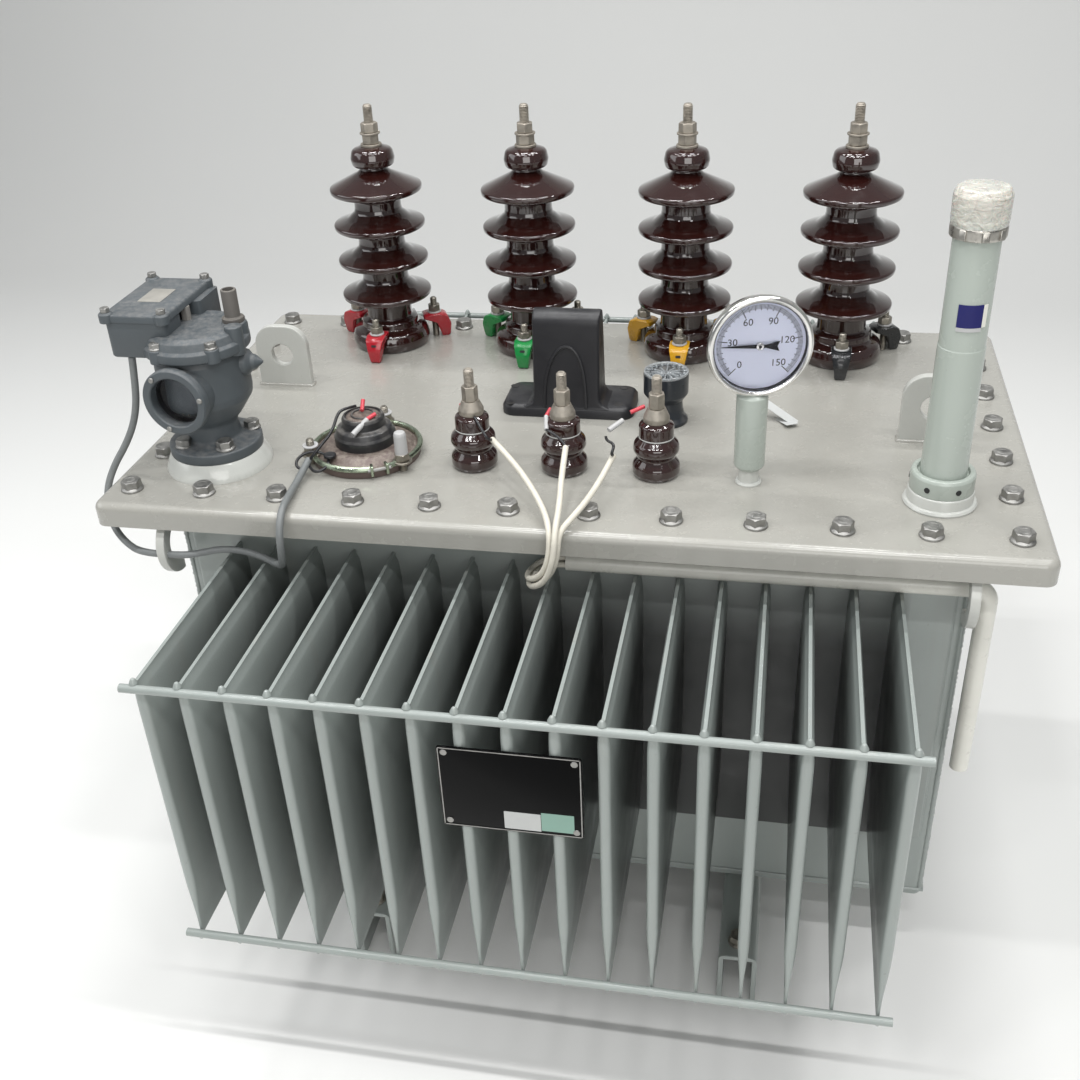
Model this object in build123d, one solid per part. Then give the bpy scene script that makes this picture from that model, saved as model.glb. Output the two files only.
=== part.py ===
"""Oil-filled distribution transformer with corrugated cooling walls.

Units are millimetres, +Z up. The origin is on the floor under the centre of the cover,
+X runs along the bushing rows and -Y faces the nameplate side.
"""

import os
from math import cos, radians, sin, tan

from build123d import *

# Tank and feet
TANK_HALF_LENGTH = 436.0
TANK_HALF_DEPTH = 226.0
TANK_WALL = 5.0
TANK_CORNER_RADIUS = 10.0
TANK_FLOOR_THICKNESS = 8.0
FOOT_HEIGHT = 80.0
FOOT_WIDTH = 45.0
FOOT_LENGTH = 710.0
FOOT_SHEET = 6.0
FOOT_BEND_RADIUS = 8.0
FOOT_CENTRE_X = 222.5

# Cover, gasket and flange
COVER_TOP_Z = 602.0
COVER_LENGTH = 1006.0
COVER_DEPTH = 580.0
COVER_SHEET = 8.0
COVER_SKIRT = 27.0
COVER_CORNER_RADIUS = 14.0
COVER_EDGE_RADIUS = 9.0
GASKET_THICKNESS = 4.0
GASKET_MARGIN = 16.0
FLANGE_THICKNESS = 12.0
FLANGE_CLEARANCE = 4.0

# Corrugated walls
WEB_THICKNESS = 4.0
WEB_HALF_LENGTH = 422.0
WEB_TOP_Z = 566.0
WEB_BOTTOM_Z = 177.0
FIN_COUNT = 17
FIN_PITCH = 45.6
FIN_WIDTH = 12.0
FIN_DEPTH = 262.0
FIN_TOP_Z = 528.0
FIN_BOTTOM_Z = 177.0
FIN_TOP_SEAM = 6.0
FIN_TOP_TAPER = 34.0
FIN_BOTTOM_SEAM = 17.0
FIN_BOTTOM_TAPER = 70.0
FIN_SEAM_WIDTH = 3.5
BAR_RADIUS = 4.5
BAR_OVERHANG = 8.0
BAR_TOP_Z = 523.5
BAR_BOTTOM_Z = 181.0
SEAT_GAP = 0.3

# Lifting hooks under the flange and lifting eyes on the cover
HOOK_THICKNESS = 10.0
HOOK_CENTRE_X = 429.0
HOOK_REACH = 30.0
HOOK_DROP = 34.0
HOOK_OUTER_RADIUS = 38.0
HOOK_INNER_RADIUS = 22.0
HOOK_MOUTH_CLEARANCE = 1.5
EYE_WIDTH = 69.0
EYE_HEIGHT = 80.0
EYE_THICKNESS = 10.0
EYE_HOLE_RADIUS = 14.0
EYE_HOLE_HEIGHT = 42.0
EYE_TOP_RADIUS = 26.0
EYE_X = 398.0
EYE_Y = 41.0

# High-voltage bushings
HV_COUNT = 4
HV_PITCH = 201.5
HV_Y = 195.0
HV_BASE_RADIUS = 54.5
HV_BASE_HEIGHT = 24.0
HV_SHOULDER_HEIGHT = 34.0
HV_CORE_RADIUS = 30.5
HV_SHED_RADIUS = 60.0
HV_SHED_FIRST = 73.0
HV_SHED_PITCH = 47.5
HV_SHED_COUNT = 4
HV_SHED_RIM = 4.0
HV_SHED_RISE = 15.0
HV_SHED_DROP = 5.0
HV_NECK_RADIUS = 18.0
HV_NECK_RISE = 22.0
HV_HEAD_RADIUS = 27.5
HV_HEAD_BOTTOM = 240.0
HV_HEAD_TOP = 266.0
HV_STUD_RADIUS = 6.0
HV_STUD_TOP = 317.0
HV_WASHER_RADIUS = 14.0
HV_NUT_ACROSS = 22.0
HV_NUT_HEIGHTS = ((3.0, 12.0), (17.0, 12.0))

# Clamps that hold the high-voltage bushings
CLAMP_ANGLES = (-90.0, 25.0, 155.0)
CLAMP_WIDTH = 19.0
CLAMP_INNER = 45.0
CLAMP_OUTER = 96.0
CLAMP_LEG = 12.0
CLAMP_CROWN = 12.0
CLAMP_TOE = 9.0
CLAMP_BOLT_RADIUS = 5.0
CLAMP_BOLT_AT = 76.0
CLAMP_BOLT_TOP = 56.0
CLAMP_NUT_ACROSS = 17.0
CLAMP_NUT_HEIGHT = 9.0

# Low-voltage bushings
LV_COUNT = 3
LV_PITCH = 102.0
LV_Y = -151.0
LV_BULGE_RADIUS = 26.0
LV_WAIST_RADIUS = 19.5
LV_BULGE_HEIGHTS = (10.0, 33.0)
LV_BULGE_HALF = 9.0
LV_CAP_RADIUS = 17.0
LV_CAP_BOTTOM = 45.0
LV_CAP_TOP = 63.0
LV_STUD_RADIUS = 5.5
LV_STUD_TOP = 116.0
LV_CONE_RADIUS = 14.5
LV_CONE_HEIGHT = 16.0
LV_NUT_ACROSS = 18.0
LV_NUT_HEIGHT = 20.0

# Gas and pressure relay
RELAY_X = -398.0
RELAY_Y = -176.0
RELAY_STUB_RADIUS = 60.0
RELAY_STUB_HEIGHT = 20.0
RELAY_FLANGE_RADIUS = 52.0
RELAY_FLANGE_THICKNESS = 13.0
RELAY_NECK_RADIUS = 33.0
RELAY_NECK_TOP = 58.0
RELAY_BODY_RADIUS = 50.0
RELAY_BODY_BOTTOM = 80.0
RELAY_BODY_TOP = 141.0
RELAY_RING_RADIUS = 58.0
RELAY_RING_TOP = 166.0
RELAY_BOX_LENGTH = 112.0
RELAY_BOX_WIDTH = 76.0
RELAY_BOX_X = -447.0
RELAY_BOX_Y = -158.0
RELAY_BOX_TOP = 180.0
RELAY_LID_THICKNESS = 8.0
RELAY_LID_MARGIN = 3.0
RELAY_SIGHT_HEIGHT = 103.0
RELAY_SIGHT_OUTER = 37.5
RELAY_SIGHT_INNER = 26.0
RELAY_SIGHT_REACH = 63.0
RELAY_SIGHT_RECESS = 7.0
RELAY_SIGHT_ANGLE = -95.0
RELAY_VALVE_RADIUS = 7.5
RELAY_VALVE_X = 33.0
RELAY_VALVE_Y = 16.0
RELAY_VALVE_TOP = 203.0
RELAY_KNOB_RADIUS = 9.0
RELAY_KNOB_REACH = 66.0
RELAY_KNOB_HEIGHT = 118.0

# Round pressure release device
DEVICE_X = -232.0
DEVICE_Y = -141.0
DEVICE_FLANGE_RADIUS = 60.0
DEVICE_FLANGE_THICKNESS = 9.0
DEVICE_CLAMP_OUTER = 62.0
DEVICE_CLAMP_INNER = 56.0
DEVICE_CLAMP_THICKNESS = 5.0
DEVICE_DISC_RADIUS = 52.0
DEVICE_DISC_TOP = 18.0
DEVICE_HUB_RADIUS = 36.0
DEVICE_HUB_TOP = 36.0
DEVICE_CROWN_RADIUS = 26.0
DEVICE_CROWN_TOP = 52.0

# Terminal hood
HOOD_X = -20.0
HOOD_Y = 12.0
HOOD_BASE_LENGTH = 160.0
HOOD_BASE_DEPTH = 74.0
HOOD_BASE_THICKNESS = 16.0
HOOD_BASE_CORNER = 18.0
HOOD_BODY_X = -22.0
HOOD_BODY_WIDTH = 86.0
HOOD_TOP_Z = 130.0
HOOD_FRONT_Y = -12.0
HOOD_BACK_Y = 30.0
HOOD_TOP_RADIUS = 13.0
HOOD_HOLE_RADIUS = 4.5
HOOD_HOLE_INSET = 13.0

# Tap changer
TAP_X = 99.0
TAP_Y = -18.0
TAP_BASE_RADIUS = 28.0
TAP_NECK_RADIUS = 19.0
TAP_BASE_TOP = 24.0
TAP_CAP_RADIUS = 26.0
TAP_CAP_BOTTOM = 34.0
TAP_CAP_TOP = 64.0
TAP_TEETH = 18

# Dial thermometer
DIAL_X = 202.0
DIAL_Y = -159.5
DIAL_NIPPLE_RADIUS = 9.0
DIAL_NIPPLE_HEIGHT = 14.0
DIAL_STEM_RADIUS = 16.4
DIAL_CASE_RADIUS = 54.0
DIAL_CASE_DEPTH = 30.0
DIAL_CENTRE_HEIGHT = 160.0
DIAL_TILT = 5.0
DIAL_GLASS_RADIUS = 47.5
DIAL_GLASS_RECESS = 5.0
DIAL_GLASS_THICKNESS = 2.5

# Oil gauge
GAUGE_X = 398.0
GAUGE_Y = -179.0
GAUGE_STUB_RADIUS = 36.0
GAUGE_STUB_HEIGHT = 13.0
GAUGE_COLLAR_RADIUS = 34.5
GAUGE_COLLAR_HEIGHT = 18.0
GAUGE_TUBE_RADIUS = 22.3
GAUGE_TUBE_TOP = 277.0
GAUGE_WINDOW_BOTTOM = 193.0
GAUGE_WINDOW_TOP = 215.0
GAUGE_WINDOW_WIDTH = 20.0
GAUGE_WINDOW_ANGLE = -95.0
GAUGE_WINDOW_DEPTH = 5.0
GAUGE_CAP_RADIUS = 27.0
GAUGE_CAP_RING = 11.0
GAUGE_CAP_TOP = 328.0

# Nameplate
PLATE_WIDTH = 139.0
PLATE_HEIGHT = 100.0
PLATE_THICKNESS = 2.5
PLATE_CENTRE_X = 2.0
PLATE_CENTRE_Z = 435.5

# Conduit pipe under the cover
CONDUIT_RADIUS = 10.0
CONDUIT_WALL = 1.5
CONDUIT_START_X = 16.0
CONDUIT_DROP_X = 450.0
CONDUIT_Y = -241.5
CONDUIT_END_Z = 302.0
CONDUIT_BEND = 16.0

# Cables and wires, each with the points that it is laid through
CABLE_RADIUS = 4.0
WIRE_RADIUS = 3.25
RELAY_CABLE = [
    (-462, -206, 741), (-464, -208, 712), (-470, -206, 684), (-480, -205, 658), (-493, -209, 634),
    (-507, -218, 613), (-515, -230, 591), (-513, -243, 569), (-501, -258, 553), (-481, -273, 544),
    (-457, -286, 541), (-434, -286, 541),
]
DEVICE_CABLE = [
    (-284, -190, 617), (-285, -215, 611), (-284, -243, 609), (-281, -268, 611), (-279, -291, 609),
    (-278, -306, 594), (-278, -310, 573), (-281, -305, 554), (-288, -293, 541), (-301, -281, 536),
    (-320, -273, 538), (-343, -271, 543), (-366, -274, 545), (-386, -281, 543), (-405, -286, 541),
    (-424, -286, 541),
]
LV_WIRES = [
    [(-76, -169, 643), (-46, -201, 634), (-20, -236, 624), (0, -270, 615.5), (10.5, -299, 609.5),
     (10.5, -307.5, 583.5), (2.5, -305, 560.5), (-14.5, -291.5, 543.5), (-23.5, -266.5, 535),
     (-10.5, -245, 540.5), (15.5, -240.5, 543), (42, -240.5, 543)],
    [(9, -187, 647), (11, -227, 634), (15, -265, 620), (17, -304, 613.5), (16, -313.5, 583.5),
     (6, -310.5, 555.5), (-11.5, -295, 536.5), (-22.5, -267.5, 526.5), (-10, -243, 532.5),
     (16, -238, 535), (42, -238, 535)],
    [(60, -186, 639), (52, -220, 629), (41, -256, 621), (31, -280.5, 616), (19.5, -299, 607.5),
     (18.5, -306, 582), (9.5, -302.5, 557), (-9.5, -287.5, 538.5), (-15.5, -266, 535),
     (-4, -248.5, 535.5), (16.5, -246, 537), (42, -246, 537)],
]

# Places worked out from the sizes above
COVER_UNDERSIDE_Z = COVER_TOP_Z - COVER_SHEET
FLANGE_TOP_Z = COVER_UNDERSIDE_Z - GASKET_THICKNESS
FLANGE_BOTTOM_Z = FLANGE_TOP_Z - FLANGE_THICKNESS
FLANGE_HALF_LENGTH = COVER_LENGTH / 2 - COVER_SHEET - FLANGE_CLEARANCE
FLANGE_HALF_DEPTH = COVER_DEPTH / 2 - COVER_SHEET - FLANGE_CLEARANCE
FLANGE_REACH = FLANGE_HALF_DEPTH - TANK_HALF_DEPTH
WEB_FACE_Y = TANK_HALF_DEPTH + WEB_THICKNESS
NOSE_Y = WEB_FACE_Y + FIN_DEPTH
BAR_Y = NOSE_Y + SEAT_GAP + BAR_RADIUS
CONDUIT_Z = FIN_TOP_Z + SEAT_GAP + CONDUIT_RADIUS


def save(shape, node):
    """Write one node's solids to its own file."""
    shape.label = node
    export_step(shape, f"parts/{node}.step")


def upright(x, y, z=COVER_TOP_Z, turn=0.0):
    """A place on the cover, turned about its own vertical axis."""
    return Location((x, y, z), (0, 0, turn))


def turned(outline):
    """Spin a half outline of (radius, height) points about the vertical axis."""
    edges = Polyline(*outline, close=True)
    return revolve(make_face(Plane.XZ * edges), axis=Axis.Z)


def hexagon_nut(across, height, bottom):
    """A plain hexagon nut standing on its lower face."""
    flat = RegularPolygon(across / 2, 6, major_radius=False)
    return Pos(0, 0, bottom) * extrude(flat, height)


def box_between(x0, x1, y0, y1, z0, z1):
    """A block given by its two opposite corners."""
    centre = Pos((x0 + x1) / 2, (y0 + y1) / 2, (z0 + z1) / 2)
    return centre * Box(x1 - x0, y1 - y0, z1 - z0)


# Tank
def tank_outline(inset=0.0):
    """Plan of the tank, drawn in by the given inset."""
    corner = max(TANK_CORNER_RADIUS - inset, TANK_WALL / 2)
    return RectangleRounded(2 * (TANK_HALF_LENGTH - inset), 2 * (TANK_HALF_DEPTH - inset), corner)


def tank_floor():
    """Flat plate that closes the tank below."""
    return Pos(0, 0, FOOT_HEIGHT) * extrude(tank_outline(), TANK_FLOOR_THICKNESS)


def tank_shell():
    """Four welded walls between the floor plate and the flange."""
    bottom = FOOT_HEIGHT + TANK_FLOOR_THICKNESS
    ring = tank_outline() - tank_outline(TANK_WALL)
    return Pos(0, 0, bottom) * extrude(ring, FLANGE_BOTTOM_Z - bottom)


def tank_flange():
    """Flat frame round the tank's mouth that the cover is bolted to."""
    frame = Rectangle(2 * FLANGE_HALF_LENGTH, 2 * FLANGE_HALF_DEPTH) - tank_outline(TANK_WALL)
    return Pos(0, 0, FLANGE_BOTTOM_Z) * extrude(frame, FLANGE_THICKNESS)


def cover_gasket():
    """Rubber frame between the flange and the cover."""
    outer = Rectangle(2 * (TANK_HALF_LENGTH + GASKET_MARGIN), 2 * (TANK_HALF_DEPTH + GASKET_MARGIN))
    return Pos(0, 0, FLANGE_TOP_Z) * extrude(outer - tank_outline(TANK_WALL), GASKET_THICKNESS)


def cover_plate():
    """Cover sheet with its edge folded down all round."""
    outer = extrude(RectangleRounded(COVER_LENGTH, COVER_DEPTH, COVER_CORNER_RADIUS), -COVER_SKIRT)
    outer = fillet(outer.edges().group_by(Axis.Z)[-1], COVER_EDGE_RADIUS)
    inner_corner = COVER_CORNER_RADIUS - COVER_SHEET
    inner = RectangleRounded(COVER_LENGTH - 2 * COVER_SHEET, COVER_DEPTH - 2 * COVER_SHEET, inner_corner)
    hollow = Pos(0, 0, -COVER_SHEET) * extrude(inner, -COVER_SKIRT)
    return Pos(0, 0, COVER_TOP_Z) * (outer - hollow)


def foot_channel(side):
    """One inverted channel that runs front to back under the tank."""
    outer = Rectangle(FOOT_WIDTH, FOOT_HEIGHT)
    outer = fillet(outer.vertices().group_by(Axis.Y)[-1], FOOT_BEND_RADIUS)
    inner = Pos(0, -FOOT_SHEET) * Rectangle(FOOT_WIDTH - 2 * FOOT_SHEET, FOOT_HEIGHT)
    profile = Pos(0, FOOT_HEIGHT / 2) * (outer - inner)
    channel = extrude(Plane.XZ * profile, FOOT_LENGTH / 2, both=True)
    return Pos(side * FOOT_CENTRE_X, 0, 0) * channel


# Corrugated walls
def fin():
    """One hollow-looking fin behind the front web, pinched shut at its top and bottom seams."""
    half = FIN_WIDTH / 2
    seam = FIN_SEAM_WIDTH / 2
    top = FIN_TOP_Z - FIN_TOP_SEAM
    bottom = FIN_BOTTOM_Z + FIN_BOTTOM_SEAM
    right_side = [
        (seam, FIN_BOTTOM_Z),
        (seam, bottom),
        (half, bottom + FIN_BOTTOM_TAPER),
        (half, top - FIN_TOP_TAPER),
        (seam, top),
        (seam, FIN_TOP_Z),
    ]
    left_side = [(-x, z) for x, z in reversed(right_side)]
    front = make_face(Plane.XZ * Polyline(*right_side, *left_side, close=True))
    front_prism = Pos(0, -WEB_FACE_Y, 0) * extrude(front, FIN_DEPTH)
    plan = fillet(Rectangle(FIN_WIDTH, FIN_DEPTH).vertices().group_by(Axis.Y)[0], 0.98 * half)
    tall = Pos(0, -WEB_FACE_Y - FIN_DEPTH / 2, FIN_BOTTOM_Z) * extrude(plan, FIN_TOP_Z - FIN_BOTTOM_Z)
    return front_prism & tall


def fin_positions():
    """Fin centres along the wall, evenly spaced about the middle."""
    first = -FIN_PITCH * (FIN_COUNT - 1) / 2
    return [first + FIN_PITCH * i for i in range(FIN_COUNT)]


def fin_bank(turn):
    """All the fins of one wall, each standing on the web."""
    one = fin()
    return Rot(0, 0, turn) * Compound(children=[Pos(x, 0, 0) * one for x in fin_positions()])


def fin_webs():
    """The flat sheet behind the fins, one for each long wall."""
    front = box_between(-WEB_HALF_LENGTH, WEB_HALF_LENGTH, -WEB_FACE_Y, -TANK_HALF_DEPTH,
                        WEB_BOTTOM_Z, WEB_TOP_Z)
    return Compound(children=[front, Rot(0, 0, 180) * front])


def fin_bars():
    """Round stiffening bars across the noses, near the top and the bottom of each bank."""
    length = FIN_PITCH * (FIN_COUNT - 1) + FIN_WIDTH + 2 * BAR_OVERHANG
    bar = Rot(0, 90, 0) * Cylinder(BAR_RADIUS, length)
    return Compound(children=[Pos(0, side * BAR_Y, z) * bar
                              for side in (-1, 1) for z in (BAR_BOTTOM_Z, BAR_TOP_Z)])


# Lifting points
def tank_hook():
    """A plate hook in the YZ plane, open downwards, with its back edge at y = 0 and its top at z = 0."""
    centre = (-HOOK_REACH, -HOOK_DROP)
    ring = Pos(*centre) * Circle(HOOK_OUTER_RADIUS)
    crown = Pos(-FLANGE_REACH / 2, -HOOK_DROP / 2) * Rectangle(FLANGE_REACH, HOOK_DROP)
    bore = Pos(*centre) * Circle(HOOK_INNER_RADIUS)
    mouth_width = HOOK_REACH + HOOK_OUTER_RADIUS
    mouth_top = CONDUIT_Z + CONDUIT_RADIUS + HOOK_MOUTH_CLEARANCE - FLANGE_BOTTOM_Z
    mouth = Pos(centre[0] + mouth_width / 2, mouth_top - HOOK_OUTER_RADIUS) * Rectangle(
        mouth_width, 2 * HOOK_OUTER_RADIUS)
    behind = Pos(HOOK_OUTER_RADIUS / 2, -HOOK_DROP) * Rectangle(HOOK_OUTER_RADIUS, 3 * HOOK_OUTER_RADIUS)
    above = Pos(0, HOOK_OUTER_RADIUS / 2) * Rectangle(4 * HOOK_OUTER_RADIUS, HOOK_OUTER_RADIUS)
    outline = ring + crown - bore - mouth - behind - above
    return extrude(Plane.YZ * outline, HOOK_THICKNESS / 2, both=True)


def tank_hooks():
    """Four hooks, one at each end of both long walls."""
    hook = Pos(0, -TANK_HALF_DEPTH, FLANGE_BOTTOM_Z) * tank_hook()
    front = [Pos(side * HOOK_CENTRE_X, 0, 0) * hook for side in (-1, 1)]
    return Compound(children=front + [Rot(0, 0, 180) * one for one in front])


def cover_eye():
    """Upright lifting eye with a rounded top and a round hole."""
    body = Pos(0, EYE_HEIGHT / 2) * Rectangle(EYE_WIDTH, EYE_HEIGHT)
    body = fillet(body.vertices().group_by(Axis.Y)[-1], EYE_TOP_RADIUS)
    outline = body - Pos(0, EYE_HOLE_HEIGHT) * Circle(EYE_HOLE_RADIUS)
    return extrude(Plane.XZ * outline, EYE_THICKNESS / 2, both=True)


def cover_eyes():
    """Two lifting eyes, placed symmetrically about the middle of the cover."""
    eye = cover_eye()
    return Compound(children=[upright(-EYE_X, EYE_Y) * eye, upright(EYE_X, -EYE_Y) * eye])


# High-voltage bushings
def shed_outline(edge_z, rise=HV_SHED_RISE):
    """Outline of one porcelain shed, from its underside to the core above it."""
    core = HV_CORE_RADIUS
    rim = HV_SHED_RADIUS
    return [
        (core, edge_z - HV_SHED_DROP - 2 * HV_SHED_RIM),
        (rim - 2 * HV_SHED_RIM, edge_z - HV_SHED_DROP),
        (rim - HV_SHED_RIM / 2, edge_z - HV_SHED_RIM),
        (rim, edge_z - HV_SHED_RIM / 4),
        (rim - HV_SHED_RIM / 2, edge_z + HV_SHED_RIM / 2),
        (core + HV_SHED_RIM, edge_z + rise - HV_SHED_RIM / 2),
        (core, edge_z + rise + HV_SHED_RIM),
    ]


def hv_bushing():
    """Ribbed porcelain insulator, turned about its own axis from z = 0."""
    outline = [(0, 0), (HV_BASE_RADIUS - 2, 0), (HV_BASE_RADIUS, 2), (HV_BASE_RADIUS, HV_BASE_HEIGHT),
               (HV_BASE_RADIUS - HV_SHED_RIM, HV_SHOULDER_HEIGHT - 2),
               (HV_CORE_RADIUS + HV_SHED_RIM, HV_SHOULDER_HEIGHT), (HV_CORE_RADIUS, HV_SHOULDER_HEIGHT + 4)]
    edges = [HV_SHED_FIRST + HV_SHED_PITCH * i for i in range(HV_SHED_COUNT)]
    for edge_z in edges[:-1]:
        outline += shed_outline(edge_z)
    outline += shed_outline(edges[-1])[:-2]
    outline += [(HV_NECK_RADIUS, edges[-1] + HV_NECK_RISE), (HV_NECK_RADIUS, HV_HEAD_BOTTOM),
                (HV_HEAD_RADIUS - 2, HV_HEAD_BOTTOM + 6), (HV_HEAD_RADIUS, HV_HEAD_BOTTOM + 13),
                (HV_HEAD_RADIUS - 5, HV_HEAD_TOP - 2), (HV_WASHER_RADIUS, HV_HEAD_TOP), (0, HV_HEAD_TOP)]
    return turned(outline)


def hv_terminal():
    """Threaded stud with its washer and two nuts, standing on the bushing's head."""
    stud = turned([(0, HV_HEAD_TOP), (HV_WASHER_RADIUS, HV_HEAD_TOP), (HV_WASHER_RADIUS, HV_HEAD_TOP + 3),
                   (HV_STUD_RADIUS, HV_HEAD_TOP + 3), (HV_STUD_RADIUS, HV_STUD_TOP - 2),
                   (HV_STUD_RADIUS - 2, HV_STUD_TOP), (0, HV_STUD_TOP)])
    for offset, height in HV_NUT_HEIGHTS:
        stud += hexagon_nut(HV_NUT_ACROSS, height, HV_HEAD_TOP + offset)
    return stud


def hv_clamp():
    """One claw with its stud and nut, on the +X side of a bushing whose axis is at the origin."""
    crown = HV_SHOULDER_HEIGHT + CLAMP_CROWN
    toe = HV_SHOULDER_HEIGHT + SEAT_GAP
    outline = [
        (CLAMP_INNER, toe),
        (HV_BASE_RADIUS + SEAT_GAP, toe),
        (HV_BASE_RADIUS + 2 * SEAT_GAP, toe - CLAMP_TOE),
        (CLAMP_OUTER - CLAMP_LEG, toe - CLAMP_TOE),
        (CLAMP_OUTER - CLAMP_LEG, 0),
        (CLAMP_OUTER, 0),
        (CLAMP_OUTER, crown - CLAMP_TOE),
        (CLAMP_BOLT_AT + CLAMP_NUT_ACROSS / 2, crown),
        (CLAMP_INNER + CLAMP_TOE, crown),
        (CLAMP_INNER, toe + CLAMP_TOE / 2),
    ]
    claw = extrude(make_face(Plane.XZ * Polyline(*outline, close=True)), CLAMP_WIDTH / 2, both=True)
    stud = Pos(CLAMP_BOLT_AT, 0, CLAMP_BOLT_TOP / 2) * Cylinder(CLAMP_BOLT_RADIUS, CLAMP_BOLT_TOP)
    nut = Pos(CLAMP_BOLT_AT, 0, 0) * hexagon_nut(CLAMP_NUT_ACROSS, CLAMP_NUT_HEIGHT, crown)
    return claw + stud + nut


def hv_places():
    """Centre of each high-voltage bushing along its row."""
    first = -HV_PITCH * (HV_COUNT - 1) / 2
    return [first + HV_PITCH * i for i in range(HV_COUNT)]


# Low-voltage bushings
def lv_bushing():
    """Small porcelain insulator with two round bulges and a plain top."""
    outline = [(0, 0), (LV_BULGE_RADIUS - 3, 0)]
    for centre in LV_BULGE_HEIGHTS:
        for angle in (-60, -30, 0, 30, 60):
            swell = LV_BULGE_RADIUS - LV_WAIST_RADIUS
            outline.append((LV_WAIST_RADIUS + swell * cos(radians(angle)),
                            centre + LV_BULGE_HALF * sin(radians(angle))))
        outline.append((LV_WAIST_RADIUS, centre + LV_BULGE_HALF + 2))
    outline += [(LV_CAP_RADIUS, LV_CAP_BOTTOM + 2), (LV_CAP_RADIUS, LV_CAP_TOP - 2),
                (LV_CAP_RADIUS - 2, LV_CAP_TOP), (0, LV_CAP_TOP)]
    return turned(outline)


def lv_terminal():
    """Stud with its cone washer and long nut."""
    nut_bottom = LV_CAP_TOP + LV_CONE_HEIGHT
    stud = turned([(0, LV_CAP_TOP), (LV_CONE_RADIUS, LV_CAP_TOP), (LV_CONE_RADIUS, LV_CAP_TOP + 8),
                   (LV_NUT_ACROSS / 2, nut_bottom), (LV_STUD_RADIUS, nut_bottom),
                   (LV_STUD_RADIUS, LV_STUD_TOP - 2), (LV_STUD_RADIUS - 2, LV_STUD_TOP), (0, LV_STUD_TOP)])
    return stud + hexagon_nut(LV_NUT_ACROSS, LV_NUT_HEIGHT, nut_bottom)


def lv_places():
    """Centre of each low-voltage bushing along its row."""
    first = -LV_PITCH * (LV_COUNT - 1) / 2
    return [first + LV_PITCH * i for i in range(LV_COUNT)]


# Gas and pressure relay, drawn about its own axis from the cover upwards
def relay_stub():
    """Welded pipe stub on the cover."""
    return turned([(0, 0), (RELAY_STUB_RADIUS, 0), (RELAY_STUB_RADIUS, 4),
                   (RELAY_FLANGE_RADIUS + 2, RELAY_STUB_HEIGHT - 3),
                   (RELAY_FLANGE_RADIUS, RELAY_STUB_HEIGHT), (0, RELAY_STUB_HEIGHT)])


def sight_axis():
    """Local frame whose +Z runs outwards along the sight glass's axis."""
    turn = RELAY_SIGHT_ANGLE
    direction = (cos(radians(turn)), sin(radians(turn)), 0)
    return Plane(origin=(0, 0, RELAY_SIGHT_HEIGHT), z_dir=direction)


def relay_body():
    """Cast lower housing with its bolted flange and the boss of the sight glass."""
    flange_top = RELAY_STUB_HEIGHT + RELAY_FLANGE_THICKNESS
    body = turned([(0, RELAY_STUB_HEIGHT), (RELAY_FLANGE_RADIUS, RELAY_STUB_HEIGHT),
                   (RELAY_FLANGE_RADIUS, flange_top - 3), (RELAY_FLANGE_RADIUS - 3, flange_top),
                   (RELAY_NECK_RADIUS + 3, flange_top), (RELAY_NECK_RADIUS, flange_top + 4),
                   (RELAY_NECK_RADIUS, RELAY_NECK_TOP), (RELAY_BODY_RADIUS - 3, RELAY_BODY_BOTTOM - 6),
                   (RELAY_BODY_RADIUS, RELAY_BODY_BOTTOM), (RELAY_BODY_RADIUS, RELAY_BODY_TOP - 8),
                   (RELAY_BODY_RADIUS - 2, RELAY_BODY_TOP), (0, RELAY_BODY_TOP)])
    boss = sight_axis() * extrude(Circle(RELAY_SIGHT_OUTER - 4), RELAY_SIGHT_REACH - RELAY_SIGHT_RECESS)
    knob = Plane(origin=(0, 0, RELAY_KNOB_HEIGHT), z_dir=(1, 0, 0)) * extrude(
        Circle(RELAY_KNOB_RADIUS), RELAY_KNOB_REACH)
    body += boss + knob
    top_cut = Pos(0, 0, RELAY_BODY_TOP + RELAY_SIGHT_OUTER) * Box(
        4 * RELAY_BODY_RADIUS, 4 * RELAY_BODY_RADIUS, 2 * RELAY_SIGHT_OUTER)
    return body - top_cut


def relay_sight_ring():
    """Screwed ring that holds the sight glass against its boss."""
    start = RELAY_SIGHT_REACH - RELAY_SIGHT_RECESS
    ring = Circle(RELAY_SIGHT_OUTER) - Circle(RELAY_SIGHT_INNER)
    solid = Pos(0, 0, start) * extrude(ring, RELAY_SIGHT_RECESS + 5)
    rim = solid.edges().filter_by(GeomType.CIRCLE).group_by(Axis.Z)[-1]
    return sight_axis() * chamfer(rim, 1.5)


def relay_sight_glass():
    """Round glass seated inside the ring."""
    start = RELAY_SIGHT_REACH - RELAY_SIGHT_RECESS
    return sight_axis() * (Pos(0, 0, start) * extrude(Circle(RELAY_SIGHT_INNER - SEAT_GAP), 3))


def relay_box_outline(grow=0.0):
    """Plan of the terminal box, set to the left of the relay's axis."""
    centre = Pos(RELAY_BOX_X - RELAY_X, RELAY_BOX_Y - RELAY_Y)
    return centre * RectangleRounded(RELAY_BOX_WIDTH + 2 * grow, RELAY_BOX_LENGTH + 2 * grow, 5)


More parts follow.
